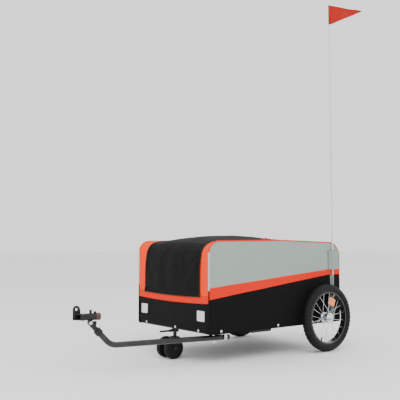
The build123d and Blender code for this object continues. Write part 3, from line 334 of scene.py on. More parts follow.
@dataclass(frozen=True)
class BandedCloth(Cloth):
    """Side panel cloth: grey above, an orange band that rises to the rear, black below."""

    upper: str = "#8f9a93"
    band: str = "#dc1f07"
    front_x: float = 0.2086
    level_x: float = -0.5004
    front_low: float = 0.264
    front_high: float = 0.311
    rear_low: float = 0.345
    rear_high: float = 0.370
    thread: str = "#b83a22"
    stitch_length: float = 0.004
    stitch_gap: float = 0.002
    stitch_inset: float = 0.003
    stitch_half_width: float = 0.0005

    def pattern(
        self, tree: bpy.types.NodeTree, place: bpy.types.NodeSocket
    ) -> bpy.types.NodeSocket:
        """Give the banded colour with a line of stitches along each edge of the band.

        Args:
            tree: the material's node tree.
            place: the socket with the point's place on the object.

        Returns:
            The colour's socket.
        """
        split = add_node(tree, "ShaderNodeSeparateXYZ", None, {0: place})
        x, z = split.outputs[0], split.outputs[2]
        colour, lines = linear(self.colour), []
        for rear, front, above, inwards in (
            (self.rear_low, self.front_low, self.band, True),
            (self.rear_high, self.front_high, self.upper, False),
        ):
            run = {"Value": x, "From Min": self.level_x, "From Max": self.front_x}
            edge = add_node(tree, RANGE, None, {**run, "To Min": rear, "To Max": front}).outputs[0]
            over = add_node(tree, MATH, {"operation": "GREATER_THAN"}, {0: z, 1: edge}).outputs[0]
            colour = add_node(
                tree, MIX, COLOUR_MIX, {0: over, 6: colour, 7: linear(above)}
            ).outputs[2]
            pair = {0: z, 1: edge} if inwards else {0: edge, 1: z}
            value = add_node(tree, MATH, {"operation": "SUBTRACT"}, pair).outputs[0]
            for operation, second in (
                ("SUBTRACT", self.stitch_inset),
                ("ABSOLUTE", 0.0),
                ("LESS_THAN", self.stitch_half_width),
            ):
                value = add_node(
                    tree, MATH, {"operation": operation}, {0: value, 1: second}
                ).outputs[0]
            lines.append(value)
        # the fold runs up and down once from stitch to stitch
        fold = (self.stitch_length + self.stitch_gap) / 2
        step = add_node(tree, MATH, {"operation": "PINGPONG"}, {0: x, 1: fold}).outputs[0]
        dash = add_node(
            tree, MATH, {"operation": "GREATER_THAN"}, {0: step, 1: self.stitch_gap / 2}
        ).outputs[0]
        line = add_node(tree, MATH, {"operation": "MAXIMUM"}, {0: lines[0], 1: lines[1]}).outputs[0]
        stitch = add_node(tree, MATH, {"operation": "MULTIPLY"}, {0: line, 1: dash}).outputs[0]
        return add_node(
            tree, MIX, COLOUR_MIX, {0: stitch, 6: colour, 7: linear(self.thread)}
        ).outputs[2]


class Palette:
    """Every finish of the trailer, built once."""

    def __init__(self) -> None:
        """Build the materials."""
        finishes = {
            # powder coat on steel: satin black with a fine orange peel
            "powder_coat": Finish(
                "PowderCoatBlack", "#0e0f10", 0.42, specular=0.35, grain_mm=0.9,
                worn="#1c1d1f", wear=0.3,
            ),
            # powder coat on the tow bar: a little greyer, polished by handling
            "tow_coat": Finish(
                "PowderCoatTowBar", "#17181a", 0.34, specular=0.45, grain_mm=0.9,
                worn="#36383b", wear=0.5,
            ),
            # zinc plate on screws, bolts and nuts: bright, with a blurred reflection
            "zinc": Finish("ZincPlate", "#c9cbce", 0.28, metallic=1.0, grain_mm=0.4),
            # stainless spoke wire, drawn and polished: thin bright lines
            "spoke": Finish("StainlessWire", "#d4d6da", 0.22, metallic=1.0, grain_mm=0.4),
            # machined and polished aluminium hub: the brightest metal
            "hub": Finish("PolishedAluminium", "#cfd2d6", 0.2, metallic=1.0, grain_mm=0.6),
            # black enamel over an aluminium rim: deep and glossy
            "rim": Finish("EnamelBlack", "#0c0c0d", 0.3, coat=0.4, grain_mm=0.8),
            # vulcanised rubber: deep grey, matt, scuffed lighter
            "rubber": Finish(
                "TyreRubber", "#0b0b0c", 0.6, ior=1.52, specular=0.2, grain_mm=0.7,
                depth_mm=0.05, worn="#141416", wear=0.5,
            ),
            # bare aluminium edge of the rim, dulled to a plain grey line
            "bead": Finish("RimEdgeGrey", "#85888c", 0.45, grain_mm=0.6),
            # moulded nylon: faint pebble and a soft gloss
            "nylon": Finish(
                "MouldedNylon", "#0b0b0c", 0.45, ior=1.53, specular=0.3, grain_mm=0.6,
                depth_mm=0.04,
            ),
            # moulded plastic cap: dark red with a soft gloss
            "cap": Finish("MouldedPlasticDarkRed", "#4a2228", 0.4, grain_mm=0.6),
            # polypropylene floor board with a pebbled face
            "board": Finish("PolypropyleneBoard", "#2a2b2c", 0.6, grain_mm=1.6, depth_mm=0.12),
            # prismatic acrylic reflectors: a clear coat over a broken-up back
            "reflector": Finish(
                "AcrylicSilver", "#cfd2d1", 0.25, coat=0.8, grain_mm=2.4, depth_mm=0.35
            ),
            "amber": Finish(
                "AcrylicAmber", "#ef7d2a", 0.2, coat=0.8, grain_mm=2.4, depth_mm=0.35
            ),
            "red": Finish("AcrylicRed", "#a3121a", 0.2, coat=0.8, grain_mm=2.4, depth_mm=0.35),
            # pultruded glass fibre pole with a gel coat: smooth off-white
            "fibre": Finish("GlassFibreWhite", "#c8cac8", 0.35, grain_mm=1.0),
            # woven polyester, coated on the back: matt, with broad shallow creases
            "side": BandedCloth("PolyesterBanded", "#09090a", 0.8, sheen=0.0, crease_mm=0.7),
            "black": Cloth("PolyesterBlack", "#09090a", 0.7, sheen=0.0),
            "orange": Cloth("PolyesterOrange", "#f5400c", 0.75, sheen=0.0, crease_mm=0.5),
            "pocket": Cloth("PolyesterGrey", "#87928b", 0.7, crease_mm=0.6),
            "lining": Cloth("PolyesterLining", "#1b1c1e", 0.8, crease_mm=0.8),
            # narrow woven tapes and cords: the same yarn, tighter, hardly creased
            "binding": Cloth("BindingOrange", "#e22a08", 0.75, sheen=0.0, crease_mm=0.2),
            "piping": Cloth("PipingGrey", "#b9b8ac", 0.6, crease_mm=0.2),
            "sleeve": Cloth("WebbingSilverGrey", "#6f7a73", 0.55, crease_mm=0.5),
            "seam": Cloth("SeamTapeDark", "#4a504c", 0.75, crease_mm=0.2),
            # thin nylon flag cloth: a faint sheen
            "flag": Cloth("NylonFlag", "#a51a0c", 0.6, sheen=0.05, crease_mm=0.6),
            "hem": Cloth("NylonFlagHem", "#9c2412", 0.6, sheen=0.05, crease_mm=0.2),
        }
        self._made = {key: finish.build() for key, finish in finishes.items()}

    def __getitem__(self, key: str) -> bpy.types.Material:
        """The material of that name."""
        return self._made[key]


# ---- making meshes ------------------------------------------------------------------


def finish_piece(
    name: str, mesh: bmesh.types.BMesh, material: bpy.types.Material, body: str
) -> bpy.types.Object:
    """Turn a finished mesh into a piece that rides on a body, or stands on no body with its
    transform baked.

    Args:
        name: the piece's name.
        mesh: the mesh, freed here.
        material: its finish.
        body: the frame's body that carries it, or COVER_BEND for the soft cover.

    Returns:
        The new object.
    """
    data = bpy.data.meshes.new(name)
    mesh.to_mesh(data)
    mesh.free()
    data.materials.append(material)
    for face in data.polygons:
        face.use_smooth = True
    piece = bpy.data.objects.new(name, data)
    bpy.context.scene.collection.objects.link(piece)
    if body == COVER_BEND:
        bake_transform(piece)
    else:
        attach(piece, body)
    LOG.info("%s on %s, %d faces", name, body, len(data.polygons))
    return piece


def thicken(
    piece: bpy.types.Object,
    thickness: float,
    offset: float = -1.0,
    lining: bpy.types.Material | None = None,
) -> None:
    """Give an open sheet its thickness, and its inner face a lining.

    Args:
        piece: the sheet.
        thickness: the finished thickness.
        offset: -1 to grow inwards, 0 to grow both ways.
        lining: the inner face's finish, where it differs.
    """
    wall = piece.modifiers.new("Thickness", "SOLIDIFY")
    wall.thickness = thickness
    wall.offset = offset
    wall.use_even_offset = True
    if lining:
        piece.data.materials.append(lining)
        wall.material_offset = 1


def laid_grid(
    columns: int,
    rows: int,
    place: Callable[[float, float], Vector],
    flat: tuple[float, float],
    outward: Vector,
) -> bmesh.types.BMesh:
    """Make a cloth grid and lay it in place.

    Args:
        columns: faces along the first direction.
        rows: faces along the second direction.
        place: where a point of the cloth, from 0 to 1 each way, lies.
        flat: the cloth's size in metres, for its UV map.
        outward: roughly the way that the first corner's face points.

    Returns:
        The mesh.
    """
    mesh = bmesh.new()
    bmesh.ops.create_grid(mesh, x_segments=columns, y_segments=rows, size=0.5)
    layer = mesh.loops.layers.uv.new("UVMap")
    for face in mesh.faces:
        for loop in face.loops:
            spot = loop.vert.co
            loop[layer].uv = ((spot.x + 0.5) * flat[0], (spot.y + 0.5) * flat[1])
    for vertex in mesh.verts:
        vertex.co = place(
            min(1.0, max(0.0, vertex.co.x + 0.5)), min(1.0, max(0.0, vertex.co.y + 0.5))
        )
    mesh.normal_update()
    mesh.faces.ensure_lookup_table()
    if mesh.faces[0].normal.dot(outward) < 0:
        bmesh.ops.reverse_faces(mesh, faces=mesh.faces[:])
    return mesh


def tube_along(
    name: str,
    points: list[Vector],
    radius: float,
    material: bpy.types.Material,
    body: str,
    closed: bool = False,
) -> bpy.types.Object:
    """Make a round cord, piping or wire along points.

    Args:
        name: the piece's name.
        points: the centre line.
        radius: the cord's radius.
        material: its finish.
        body: the body that carries it.
        closed: whether the line joins its own start.

    Returns:
        The new object.
    """
    curve = bpy.data.curves.new(name, "CURVE")
    curve.dimensions = "3D"
    curve.bevel_depth = radius
    curve.bevel_resolution = 3
    curve.use_fill_caps = not closed
    spline = curve.splines.new("POLY")
    spline.points.add(len(points) - 1)
    for point, spot in zip(spline.points, points):
        point.co = (*spot, 1.0)
    spline.use_cyclic_u = closed
    holder = bpy.data.objects.new(name, curve)
    bpy.context.scene.collection.objects.link(holder)
    bpy.context.view_layer.update()
    mesh = bmesh.new()
    mesh.from_mesh(holder.to_mesh())
    holder.to_mesh_clear()
    bpy.data.objects.remove(holder)
    bmesh.ops.remove_doubles(mesh, verts=mesh.verts[:], dist=MERGE)
    bmesh.ops.recalc_face_normals(mesh, faces=mesh.faces[:])
    return finish_piece(name, mesh, material, body)


def moulded_block(size: Vector, bevel: float, segments: int = 3) -> bmesh.types.BMesh:
    """A block with rounded edges, centred on the origin.

    Args:
        size: its three sides.
        bevel: the radius of its edges.
        segments: faces round each edge.

    Returns:
        The mesh.
    """
    mesh = bmesh.new()
    bmesh.ops.create_cube(mesh, size=1.0)
    bmesh.ops.scale(mesh, vec=size, verts=mesh.verts[:])
    bmesh.ops.bevel(
        mesh, geom=mesh.edges[:], offset=bevel, segments=segments, profile=0.5,
        affect="EDGES", material=-1,
    )
    return mesh


def ripple(spot: Vector, size: float, height: float, seed: float) -> float:
    """Smooth random height of cloth at a place, with waves about size apart."""
    return height * noise.noise(Vector((spot.x / size + seed, spot.y / size, spot.z / size - seed)))


def smooth_step(value: float, low: float, high: float) -> float:
    """Rise from 0 at low to 1 at high."""
    share = min(1.0, max(0.0, (value - low) / (high - low)))
    return share * share * (3 - 2 * share)


# ---- fabric box ---------------------------------------------------------------------


@dataclass
class BoxOutline:
    """The line over the box from the front hem to the rear hem, at its outer face."""

    front: float = 0.20856
    rear: float = -0.58344
    hem: float = 0.132
    bottom: float = 0.124
    top_front: float = 0.500
    top_middle: float = 0.505
    top_rear: float = 0.493
    middle_x: float = -0.20044
    front_radius: float = 0.050
    rear_radius: float = 0.066
    crown_radius: float = 1.6
    corner_steps: int = 24
    line: list[tuple[float, float, float]] = field(default_factory=list)

    def __post_init__(self) -> None:
        """Work out the line with its rounded corners, and the length along it."""
        corners = [
            Vector((self.front, self.bottom)),
            Vector((self.front, self.top_front)),
            Vector((self.middle_x, self.top_middle)),
            Vector((self.rear, self.top_rear)),
            Vector((self.rear, self.bottom)),
        ]
        radii = [self.front_radius, self.crown_radius, self.rear_radius]
        points = [corners[0]]
        for before, corner, after, radius in zip(corners, corners[1:], corners[2:], radii):
            one, two = (before - corner).normalized(), (after - corner).normalized()
            half = one.angle(two) / 2
            centre = corner + (one + two).normalized() * radius / math.sin(half)
            start = corner + one * radius / math.tan(half) - centre
            end = corner + two * radius / math.tan(half) - centre
            points += [
                centre + start.slerp(end, i / self.corner_steps).normalized() * radius
                for i in range(self.corner_steps + 1)
            ]
        points.append(corners[-1])
        along = 0.0
        self.line = [(0.0, points[0].x, points[0].y)]
        for before, after in zip(points, points[1:]):
            along += (after - before).length
            self.line.append((along, after.x, after.y))

    @property
    def length(self) -> float:
        """The whole length of the line."""
        return self.line[-1][0]

    def at(self, along: float) -> tuple[Vector, Vector]:
        """The point at a length along the line, and the outward direction there.

        Args:
            along: metres from the bottom of the front face.

        Returns:
            The point and the unit normal, both with y at 0.
        """
        along = min(self.length, max(0.0, along))
        for (s0, x0, z0), (s1, x1, z1) in zip(self.line, self.line[1:]):
            if along <= s1 + TINY:
                share = (along - s0) / max(TINY, s1 - s0)
                run = Vector((x1 - x0, 0, z1 - z0)).normalized()
                spot = Vector((x0 + share * (x1 - x0), 0, z0 + share * (z1 - z0)))
                return spot, Vector((run.z, 0, -run.x))
        raise ValueError(along)

    def along_height(self, height: float) -> float:
        """Length along the line to a height on the front face."""
        return height - self.bottom

    def along_x(self, x: float) -> float:
        """Length along the line to a place on the top.

        Args:
            x: the place, between the two walls.

        Returns:
            Metres from the bottom of the front face.
        """
        for (s0, x0, _), (s1, x1, _) in zip(self.line, self.line[1:]):
            if x0 > x >= x1:
                return s0 + (s1 - s0) * (x0 - x) / (x0 - x1)
        raise ValueError(x)

    def top_at(self, x: float) -> float:
        """Height of the top edge.

        Args:
            x: where along the box.

        Returns:
            The height, or the top of the front face where x is on that face.
        """
        for (_, x0, z0), (_, x1, z1) in zip(self.line, self.line[1:]):
            if x0 >= x >= x1 and x0 - x1 > TINY:
                return z0 + (z1 - z0) * (x0 - x) / (x0 - x1)
        return self.top_front - self.front_radius


@dataclass
class FabricBox:
    """The fabric body: side panels, front and rear panels, borders, piping and cover."""

    palette: Palette
    outline: BoxOutline = field(default_factory=BoxOutline)
    half_width: float = 0.262
    cloth: float = 0.0012
    band_low: float = 0.248
    sill: float = 0.276
    sag: float = 0.007
    cover_half: float = 0.203
    corner_sink: float = 0.017
    seam_x: float = -0.51244
    loop_x: float = -0.13
    crown: float = 0.021
    puff: float = 0.0012
    border_lift: float = 0.0006
    band_lift: float = 0.0012
    cover_lift_least: float = 0.0026
    crown_grows: tuple[float, float] = (0.20, 0.50)  # shares of the cover, front to rear
    crown_fades: tuple[float, float] = (0.55, 0.88)
    front_ends: tuple[float, float] = (0.18, 0.30)
    fold_from: float = 0.45
    fold_count: int = 9
    fold_reach: float = 0.16
    fold_height: float = 0.0014
    sink_ahead: float = 0.012
    sink_reach: float = 0.062
    sink_half: float = 0.252
    border_under_cover: float = 0.008
    rear_band: tuple[float, float] = (0.343, 0.367)
    cut_share: float = 0.975  # of the side cloth's rectangle, after its rounded corners
    zip_radius: float = 0.0019
    zip_pull: tuple[float, float, float] = (0.0018, 0.006, 0.020)
    piping_inset: float = 0.0004
    piping_low: float = 0.30
    piping_high: float = 0.455
    piping_rear: float = 0.20
    loop_y: float = 0.236
    loop_size: tuple[float, float] = (0.012, 0.010)

    def build(self) -> None:
        """Make every fabric piece of the box."""
        for side in Side:
            self.side_panel(side)
            self.border(side)
            self.side_piping(side)
        self.front_skirt()
        self.front_band()
        self.rear_panel()
        self.cover()
        self.zips()
        self.pull_tab()

    def side_panel(self, side: Side) -> None:
        """Make one banded side wall, pulled tight between rail and hoop.

        Args:
            side: which wall.
        """
        sign = side.value
        line = self.outline
        length = line.front - line.rear
        height = line.top_middle - line.bottom

        def place(u: float, v: float) -> Vector:
            """Lay a point on the wall, puffed out away from its edges."""
            x = line.rear + length * (0.5 - 0.5 * math.cos(math.pi * u))
            top = line.top_at(x)
            z = line.bottom + v * (top - line.bottom)
            edge = min(smooth_step(v, 0.0, 0.12), smooth_step(1 - v, 0.0, 0.08))
            edge *= min(smooth_step(u, 0.0, 0.08), smooth_step(1 - u, 0.0, 0.08))
            spot = Vector((x, 0, z))
            broad = ripple(spot, size=0.16, height=0.0035, seed=3.0 * sign)
            puff = edge * (self.puff + broad)
            along = Vector((x * 0.5, 0, z * 2))
            puff += edge * ripple(along, size=0.05, height=0.0010, seed=7.0)
            return Vector((x, sign * (self.half_width + puff), z))

        mesh = laid_grid(130, 60, place, (length, height), Vector((0, sign, 0)))
        piece = finish_piece(f"side_cloth_{side.label}", mesh, self.palette["side"], "chassis")
        thicken(piece, self.cloth, lining=self.palette["lining"])
        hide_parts(f"side_panel_{side.label}")

    def strip(
        self,
        name: str,
        finish: str,
        body: str,
        span: tuple[Callable[[float], float], Callable[[float], float]],
        across: tuple[float, float],
        lift: Callable[[float, float], float],
        cells: tuple[int, int],
    ) -> bpy.types.Object:
        """Lay a strip of cloth over the box.

        Args:
            name: the piece's name.
            finish: its finish in the palette.
            body: the body that carries it.
            span: the start and end along the outline, each from y.
            across: the strip's lowest and highest y.
            lift: height over the outline at a length along it and a y.
            cells: faces along and across.

        Returns:
            The strip, with its thickness.
        """
        low_y, high_y = across
        middle = (low_y + high_y) / 2
        length = span[1](middle) - span[0](middle)

        def place(u: float, v: float) -> Vector:
            """Lay a point over the box, lifted outwards."""
            y = low_y + v * (high_y - low_y)
            start, end = span[0](y), span[1](y)
            along = start + u * (end - start)
            spot, outward = self.outline.at(along)
            spot = spot + outward * lift(along, y)
            spot.y = y
            return spot

        _, outward = self.outline.at(span[0](middle) + 0.001)
        mesh = laid_grid(*cells, place, (length, high_y - low_y), outward)
        piece = finish_piece(name, mesh, self.palette[finish], body)
        thicken(piece, self.cloth, lining=self.palette["lining"])
        return piece

    def sagging(self, height: float) -> Callable[[float], float]:
        """Length along the outline to a height that sags towards the middle."""
        return lambda y: self.outline.along_height(
            height - self.sag * (1 - (y / self.half_width) ** 2)
        )

    def front_skirt(self) -> None:
        """Make the black lower front."""
        line = self.outline

        def lift(along: float, y: float) -> float:
            """Height of the skirt over the outline."""
            inside = smooth_step(self.half_width - abs(y), 0.0, 0.03)
            broad = ripple(Vector((y, along, 0)), size=0.11, height=0.002, seed=11.0)
            return inside * (0.0008 + broad)

        piece = self.strip(
            "front_skirt", "black", "chassis",
            (lambda y: line.along_height(line.hem), self.sagging(self.band_low)),
            (-self.half_width, self.half_width), lift, (24, 80),
        )
        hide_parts("front_panel")

    def front_band(self) -> None:
        """Make the orange band under the cover's front edge."""
        piece = self.strip(
            "front_band", "binding", "chassis",
            (self.sagging(self.band_low), self.sagging(self.sill + 0.004)),
            (-self.half_width, self.half_width), lambda along, y: self.band_lift, (8, 60),
        )

    def border(self, side: Side) -> None:
        """Make the orange border beside the cover, from the sill to its rear seam.

        Args:
            side: which border.
        """
        sign = side.value
        near = sign * (self.cover_half - self.border_under_cover)
        far = sign * self.half_width
        end = self.outline.along_x(self.seam_x)

        def lift(along: float, y: float) -> float:
            """Height of the border over the outline."""
            fine = ripple(Vector((along, y, 0)), size=0.07, height=0.0008, seed=5.0)
            return self.border_lift + self.sink(along, y) + fine

        piece = self.strip(
            f"cover_border_{side.label}", "orange", "chassis",
            (self.sagging(self.sill), lambda y: end),
            (min(near, far), max(near, far)), lift, (120, 8),
        )
        if side is Side.LEFT:
            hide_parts("cover_borders")

    def rear_panel(self) -> None:
        """Make the black rear wall, from the cover's seam down to the rear hem."""
        line = self.outline
        start, end = line.along_x(self.seam_x), line.length - (line.hem - line.bottom)

        def lift(along: float, y: float) -> float:
            """Height of the wall over the outline, with the cover's crown fading down it."""
            inside = smooth_step(self.half_width - abs(y), 0.0, 0.03)
            fade = 1 - smooth_step(along, start, start + 0.16)
            rise = self.crown * 0.1 * (1 - (y / self.half_width) ** 2) * fade
            broad = ripple(Vector((y, along, 0)), size=0.12, height=0.0025, seed=21.0)
            return rise + inside * broad

        piece = self.strip(
            "rear_cloth", "black", "chassis",
            (lambda y: start, lambda y: end),
            (-self.half_width, self.half_width), lift, (60, 80),
        )
        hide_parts("rear_panel")
        band_low, band_high = (line.length - (z - line.bottom) for z in self.rear_band)
        band = self.strip(
            "rear_band", "binding", "chassis",
            (lambda y: band_high, lambda y: band_low),
            (-self.half_width, self.half_width),
            lambda along, y: lift(along, y) + self.band_lift, (6, 80),
        )

    def sink(self, along: float, y: float) -> float:
        """How far the cloth falls inside the hoops' sharp front corner.

        Args:
            along: metres along the outline.
            y: the place across the box.

        Returns:
            The fall, as a minus height.
        """
        corner = self.outline.along_height(self.outline.top_front) - self.sink_ahead
        near = math.exp(-(((along - corner) / self.sink_reach) ** 2))
        return -self.corner_sink * near * smooth_step(self.sink_half - abs(y), 0.0, 0.07)

    def cover_lift(self, along: float, y: float) -> float:
        """Height of the cover over the outline: a crown, and folds from the corners.

        Args:
            along: metres along the outline.
            y: the place across the box.

        Returns:
            The height.
        """
        line = self.outline
        start, end = line.along_height(self.sill), line.along_x(self.seam_x)
        share = (along - start) / (end - start)
        across = 1 - (y / self.cover_half) ** 2
        top = smooth_step(share, *self.crown_grows)
        rise = self.crown * (0.25 + 0.75 * top) * across * smooth_step(share, 0.0, 0.05)
        rise *= 1 - 0.9 * smooth_step(share, *self.crown_fades)
        front = 1 - smooth_step(share, *self.front_ends)
        fold = 0.0
        for corner_y, reach in ((self.cover_half, 1.0), (-self.cover_half, 0.6)):
            away = Vector((along - line.along_height(self.fold_from), y - corner_y))
            spread = math.atan2(away.y, away.x)
            decay = math.exp(-away.length / self.fold_reach)
            fold += reach * math.sin(self.fold_count * spread) * decay
        broad = Vector((along * 0.8, y * 1.3, 0))
        rumple = ripple(broad, size=0.085, height=0.006, seed=31.0)
        rumple += ripple(Vector((along, y, 0)), size=0.035, height=0.0018, seed=41.0)
        inside = smooth_step(self.cover_half - abs(y), 0.0, 0.035)
        inside *= smooth_step(share, 0.0, 0.03) * smooth_step(1 - share, 0.0, 0.02)
        rise += self.sink(along, y)
        loose = front * self.fold_height * fold + rumple * (0.35 + 0.15 * front)
        return self.cover_lift_least + rise + inside * loose

    def cover(self) -> None:
        """Make the soft black cover, crowned over the cover bars."""
        line = self.outline
        end = line.along_x(self.seam_x)
        piece = self.strip(
            "cover_cloth", "black", COVER_BEND,
            (self.sagging(self.sill), lambda y: end),
            (-self.cover_half, self.cover_half), self.cover_lift, (220, 110),
        )
        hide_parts("cover")

    def cover_edge(
        self, y: float, start: float, end: float, rise: float, steps: int = 90
    ) -> list[Vector]:
        """Points over the box, for an edge that runs from front to rear.

        Args:
            y: the edge's place across the box.
            start: its front end along the outline.
            end: its rear end along the outline.
            rise: its height over the outline.
            steps: how many lengths it is made of.

        Returns:
            The points.
        """
        spots = []
        for i in range(steps + 1):
            along = start + (end - start) * i / steps
            spot, outward = self.outline.at(along)
            spot = spot + outward * (rise + self.sink(along, y))
            spot.y = y
            spots.append(spot)
        return spots

    def zips(self) -> None:
        """Make the zip coil round the cover's edge and its two pulls."""
        nylon = self.palette["nylon"]
        end = self.outline.along_x(self.seam_x)
        for side in Side:
            y = side.value * (self.cover_half + 0.0008)
            start = self.sagging(self.sill)(y)
            points = self.cover_edge(y, start, end, self.cover_lift_least)
            tube_along(f"zip_{side.label}", points, self.zip_radius, nylon, COVER_BEND)
            mesh = moulded_block(Vector(self.zip_pull), 0.0006, segments=2)
            spot = self.outline.at(start + 0.012)[0]
            bmesh.ops.translate(mesh, vec=(spot.x + 0.0056, y, spot.z - 0.004), verts=mesh.verts[:])
            finish_piece(f"zip_pull_{side.label}", mesh, nylon, "cover")
        points = []
        steps = 60
        for i in range(steps + 1):
            y = self.cover_half * (1 - 2 * i / steps)
            spot = self.outline.at(self.sagging(self.sill)(y))[0]
            points.append(Vector((spot.x + self.cover_lift_least, y, spot.z)))
        tube_along("zip_front", points, self.zip_radius, nylon, "cover")

    def side_piping(self, side: Side) -> None:
        """Make the piping at the top edge and at the front and rear corners.

        Args:
            side: which side's edge.
        """
        line = self.outline
        y = side.value * (self.half_width - self.piping_inset)
        hem, low, high = map(line.along_height, (line.hem, self.piping_low, self.piping_high))
        tail, end = line.length - self.piping_rear, line.length - (line.hem - line.bottom)
        for name, start, stop, steps, radius, finish in (
            ("corner", low, high, 12, 0.0034, "piping"),
            ("top", high, tail, 90, 0.0024, "binding"),
            ("front", hem, low, 8, 0.0022, "black"),
            ("rear", tail, end, 12, 0.0022, "black"),
        ):
            points = self.cover_edge(y, start, stop, self.border_lift, steps)
            material = self.palette[finish]
            tube_along(f"{name}_piping_{side.label}", points, radius, material, "chassis")

    def pull_tab(self) -> None:
        """Make the small orange pull loop on the left border."""
        spot = self.outline.at(self.outline.along_x(self.loop_x))[0]
        wide, high = self.loop_size
        steps = 12
        points = [
            Vector((spot.x + wide * math.cos(a), self.loop_y, spot.z + high * math.sin(a)))
            for a in [math.pi * i / steps for i in range(steps + 1)]
        ]
        tube_along("pull_tab", points, 0.0022, self.palette["binding"], "chassis")


# ---- wheels, caster and running gear ------------------------------------------------


@dataclass
class RoadWheel:
    """A spoked wheel's tyre with its tread, and the bright line at the rim's edge."""

    palette: Palette
    side: Side
    centre: Vector = field(default_factory=lambda: Vector((-0.45044, 0, 0.1525)))
    track: float = 0.600
    outer: float = 0.1525
    width: float = 0.044
    rim_radius: float = 0.112
    rim_height: float = 0.014
    rim_width: float = 0.028
    tread: float = 0.0016
    blocks: int = 96
    gap: float = 0.0004
    line_out: float = 0.0009
    line_radius: float = 0.0011
    wall: float = 0.0035
    section_steps: int = 22
    crown_half: float = 0.003
    shoulder_half: float = 0.010
    tread_depth: float = 0.011

    def build(self) -> None:
        """Make the tyre and the rim line."""
        self.tyre()
        self.rim_line()

    def tyre(self) -> None:
        """Spin the tyre's section and raise the tread blocks."""
        y = self.side.value * self.track / 2
        section = 0.5 * (self.outer - self.rim_radius)
        middle = self.outer - section
        mesh = bmesh.new()
        ring = []
        edge = math.asin((self.rim_width / 2 + self.gap) / (self.width / 2))
        for i in range(self.section_steps + 1):
            angle = edge + (2 * math.pi - 2 * edge) * i / self.section_steps
            radius = middle - (section - self.tread) * math.cos(angle)
            out = (self.width / 2 - 0.0008) * math.sin(angle)
            ring.append(mesh.verts.new((radius, out, 0)))
        for one, two in zip(ring, ring[1:]):
            mesh.edges.new((one, two))
        bmesh.ops.spin(
            mesh, geom=mesh.verts[:] + mesh.edges[:], cent=(0, 0, 0), axis=(0, 1, 0),
            angle=2 * math.pi, steps=self.blocks, use_merge=True,
        )
        bmesh.ops.remove_doubles(mesh, verts=mesh.verts[:], dist=MERGE)
        bmesh.ops.recalc_face_normals(mesh, faces=mesh.faces[:])
        if sum(f.normal.dot(f.calc_center_median().normalized()) for f in mesh.faces) < 0:
            bmesh.ops.reverse_faces(mesh, faces=mesh.faces[:])
        raised = []
        for face in mesh.faces:
            spot = face.calc_center_median()
            out = abs(spot.y)
            turn = int((math.atan2(spot.z, spot.x) / (2 * math.pi) + 0.5) * self.blocks)
            row = 0 if out < self.crown_half else (1 if out < self.shoulder_half else 2)
            on_tread = math.hypot(spot.x, spot.z) > self.outer - self.tread_depth
            if on_tread and (turn + row) % 2 == 0:
                raised.append(face)
        bmesh.ops.inset_individual(
            mesh, faces=raised, thickness=0.0007, depth=self.tread - 0.0003, use_even_offset=True
        )
        bmesh.ops.translate(mesh, vec=self.centre + Vector((0, y, 0)), verts=mesh.verts[:])
        label, rubber = self.side.label, self.palette["rubber"]
        piece = finish_piece(f"treaded_tyre_{label}", mesh, rubber, f"wheel_{label}")
        thicken(piece, self.wall)
        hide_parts(f"tyre_{label}")

    def rim_line(self) -> None:
        """Make the thin grey line where the tyre meets the rim."""
        y = self.side.value * self.track / 2
        radius = self.rim_radius + self.rim_height + self.gap
        for name, sign in (("outer", self.side.value), ("inner", -self.side.value)):
            at = y + sign * (self.rim_width / 2 + self.line_out)
            points = [
                self.centre + Vector((radius * math.cos(a), at, radius * math.sin(a)))
                for a in [2 * math.pi * i / self.blocks for i in range(self.blocks)]
            ]
            tube_along(
                f"rim_line_{name}_{self.side.label}", points, self.line_radius,
                self.palette["bead"], f"wheel_{self.side.label}", closed=True,
            )


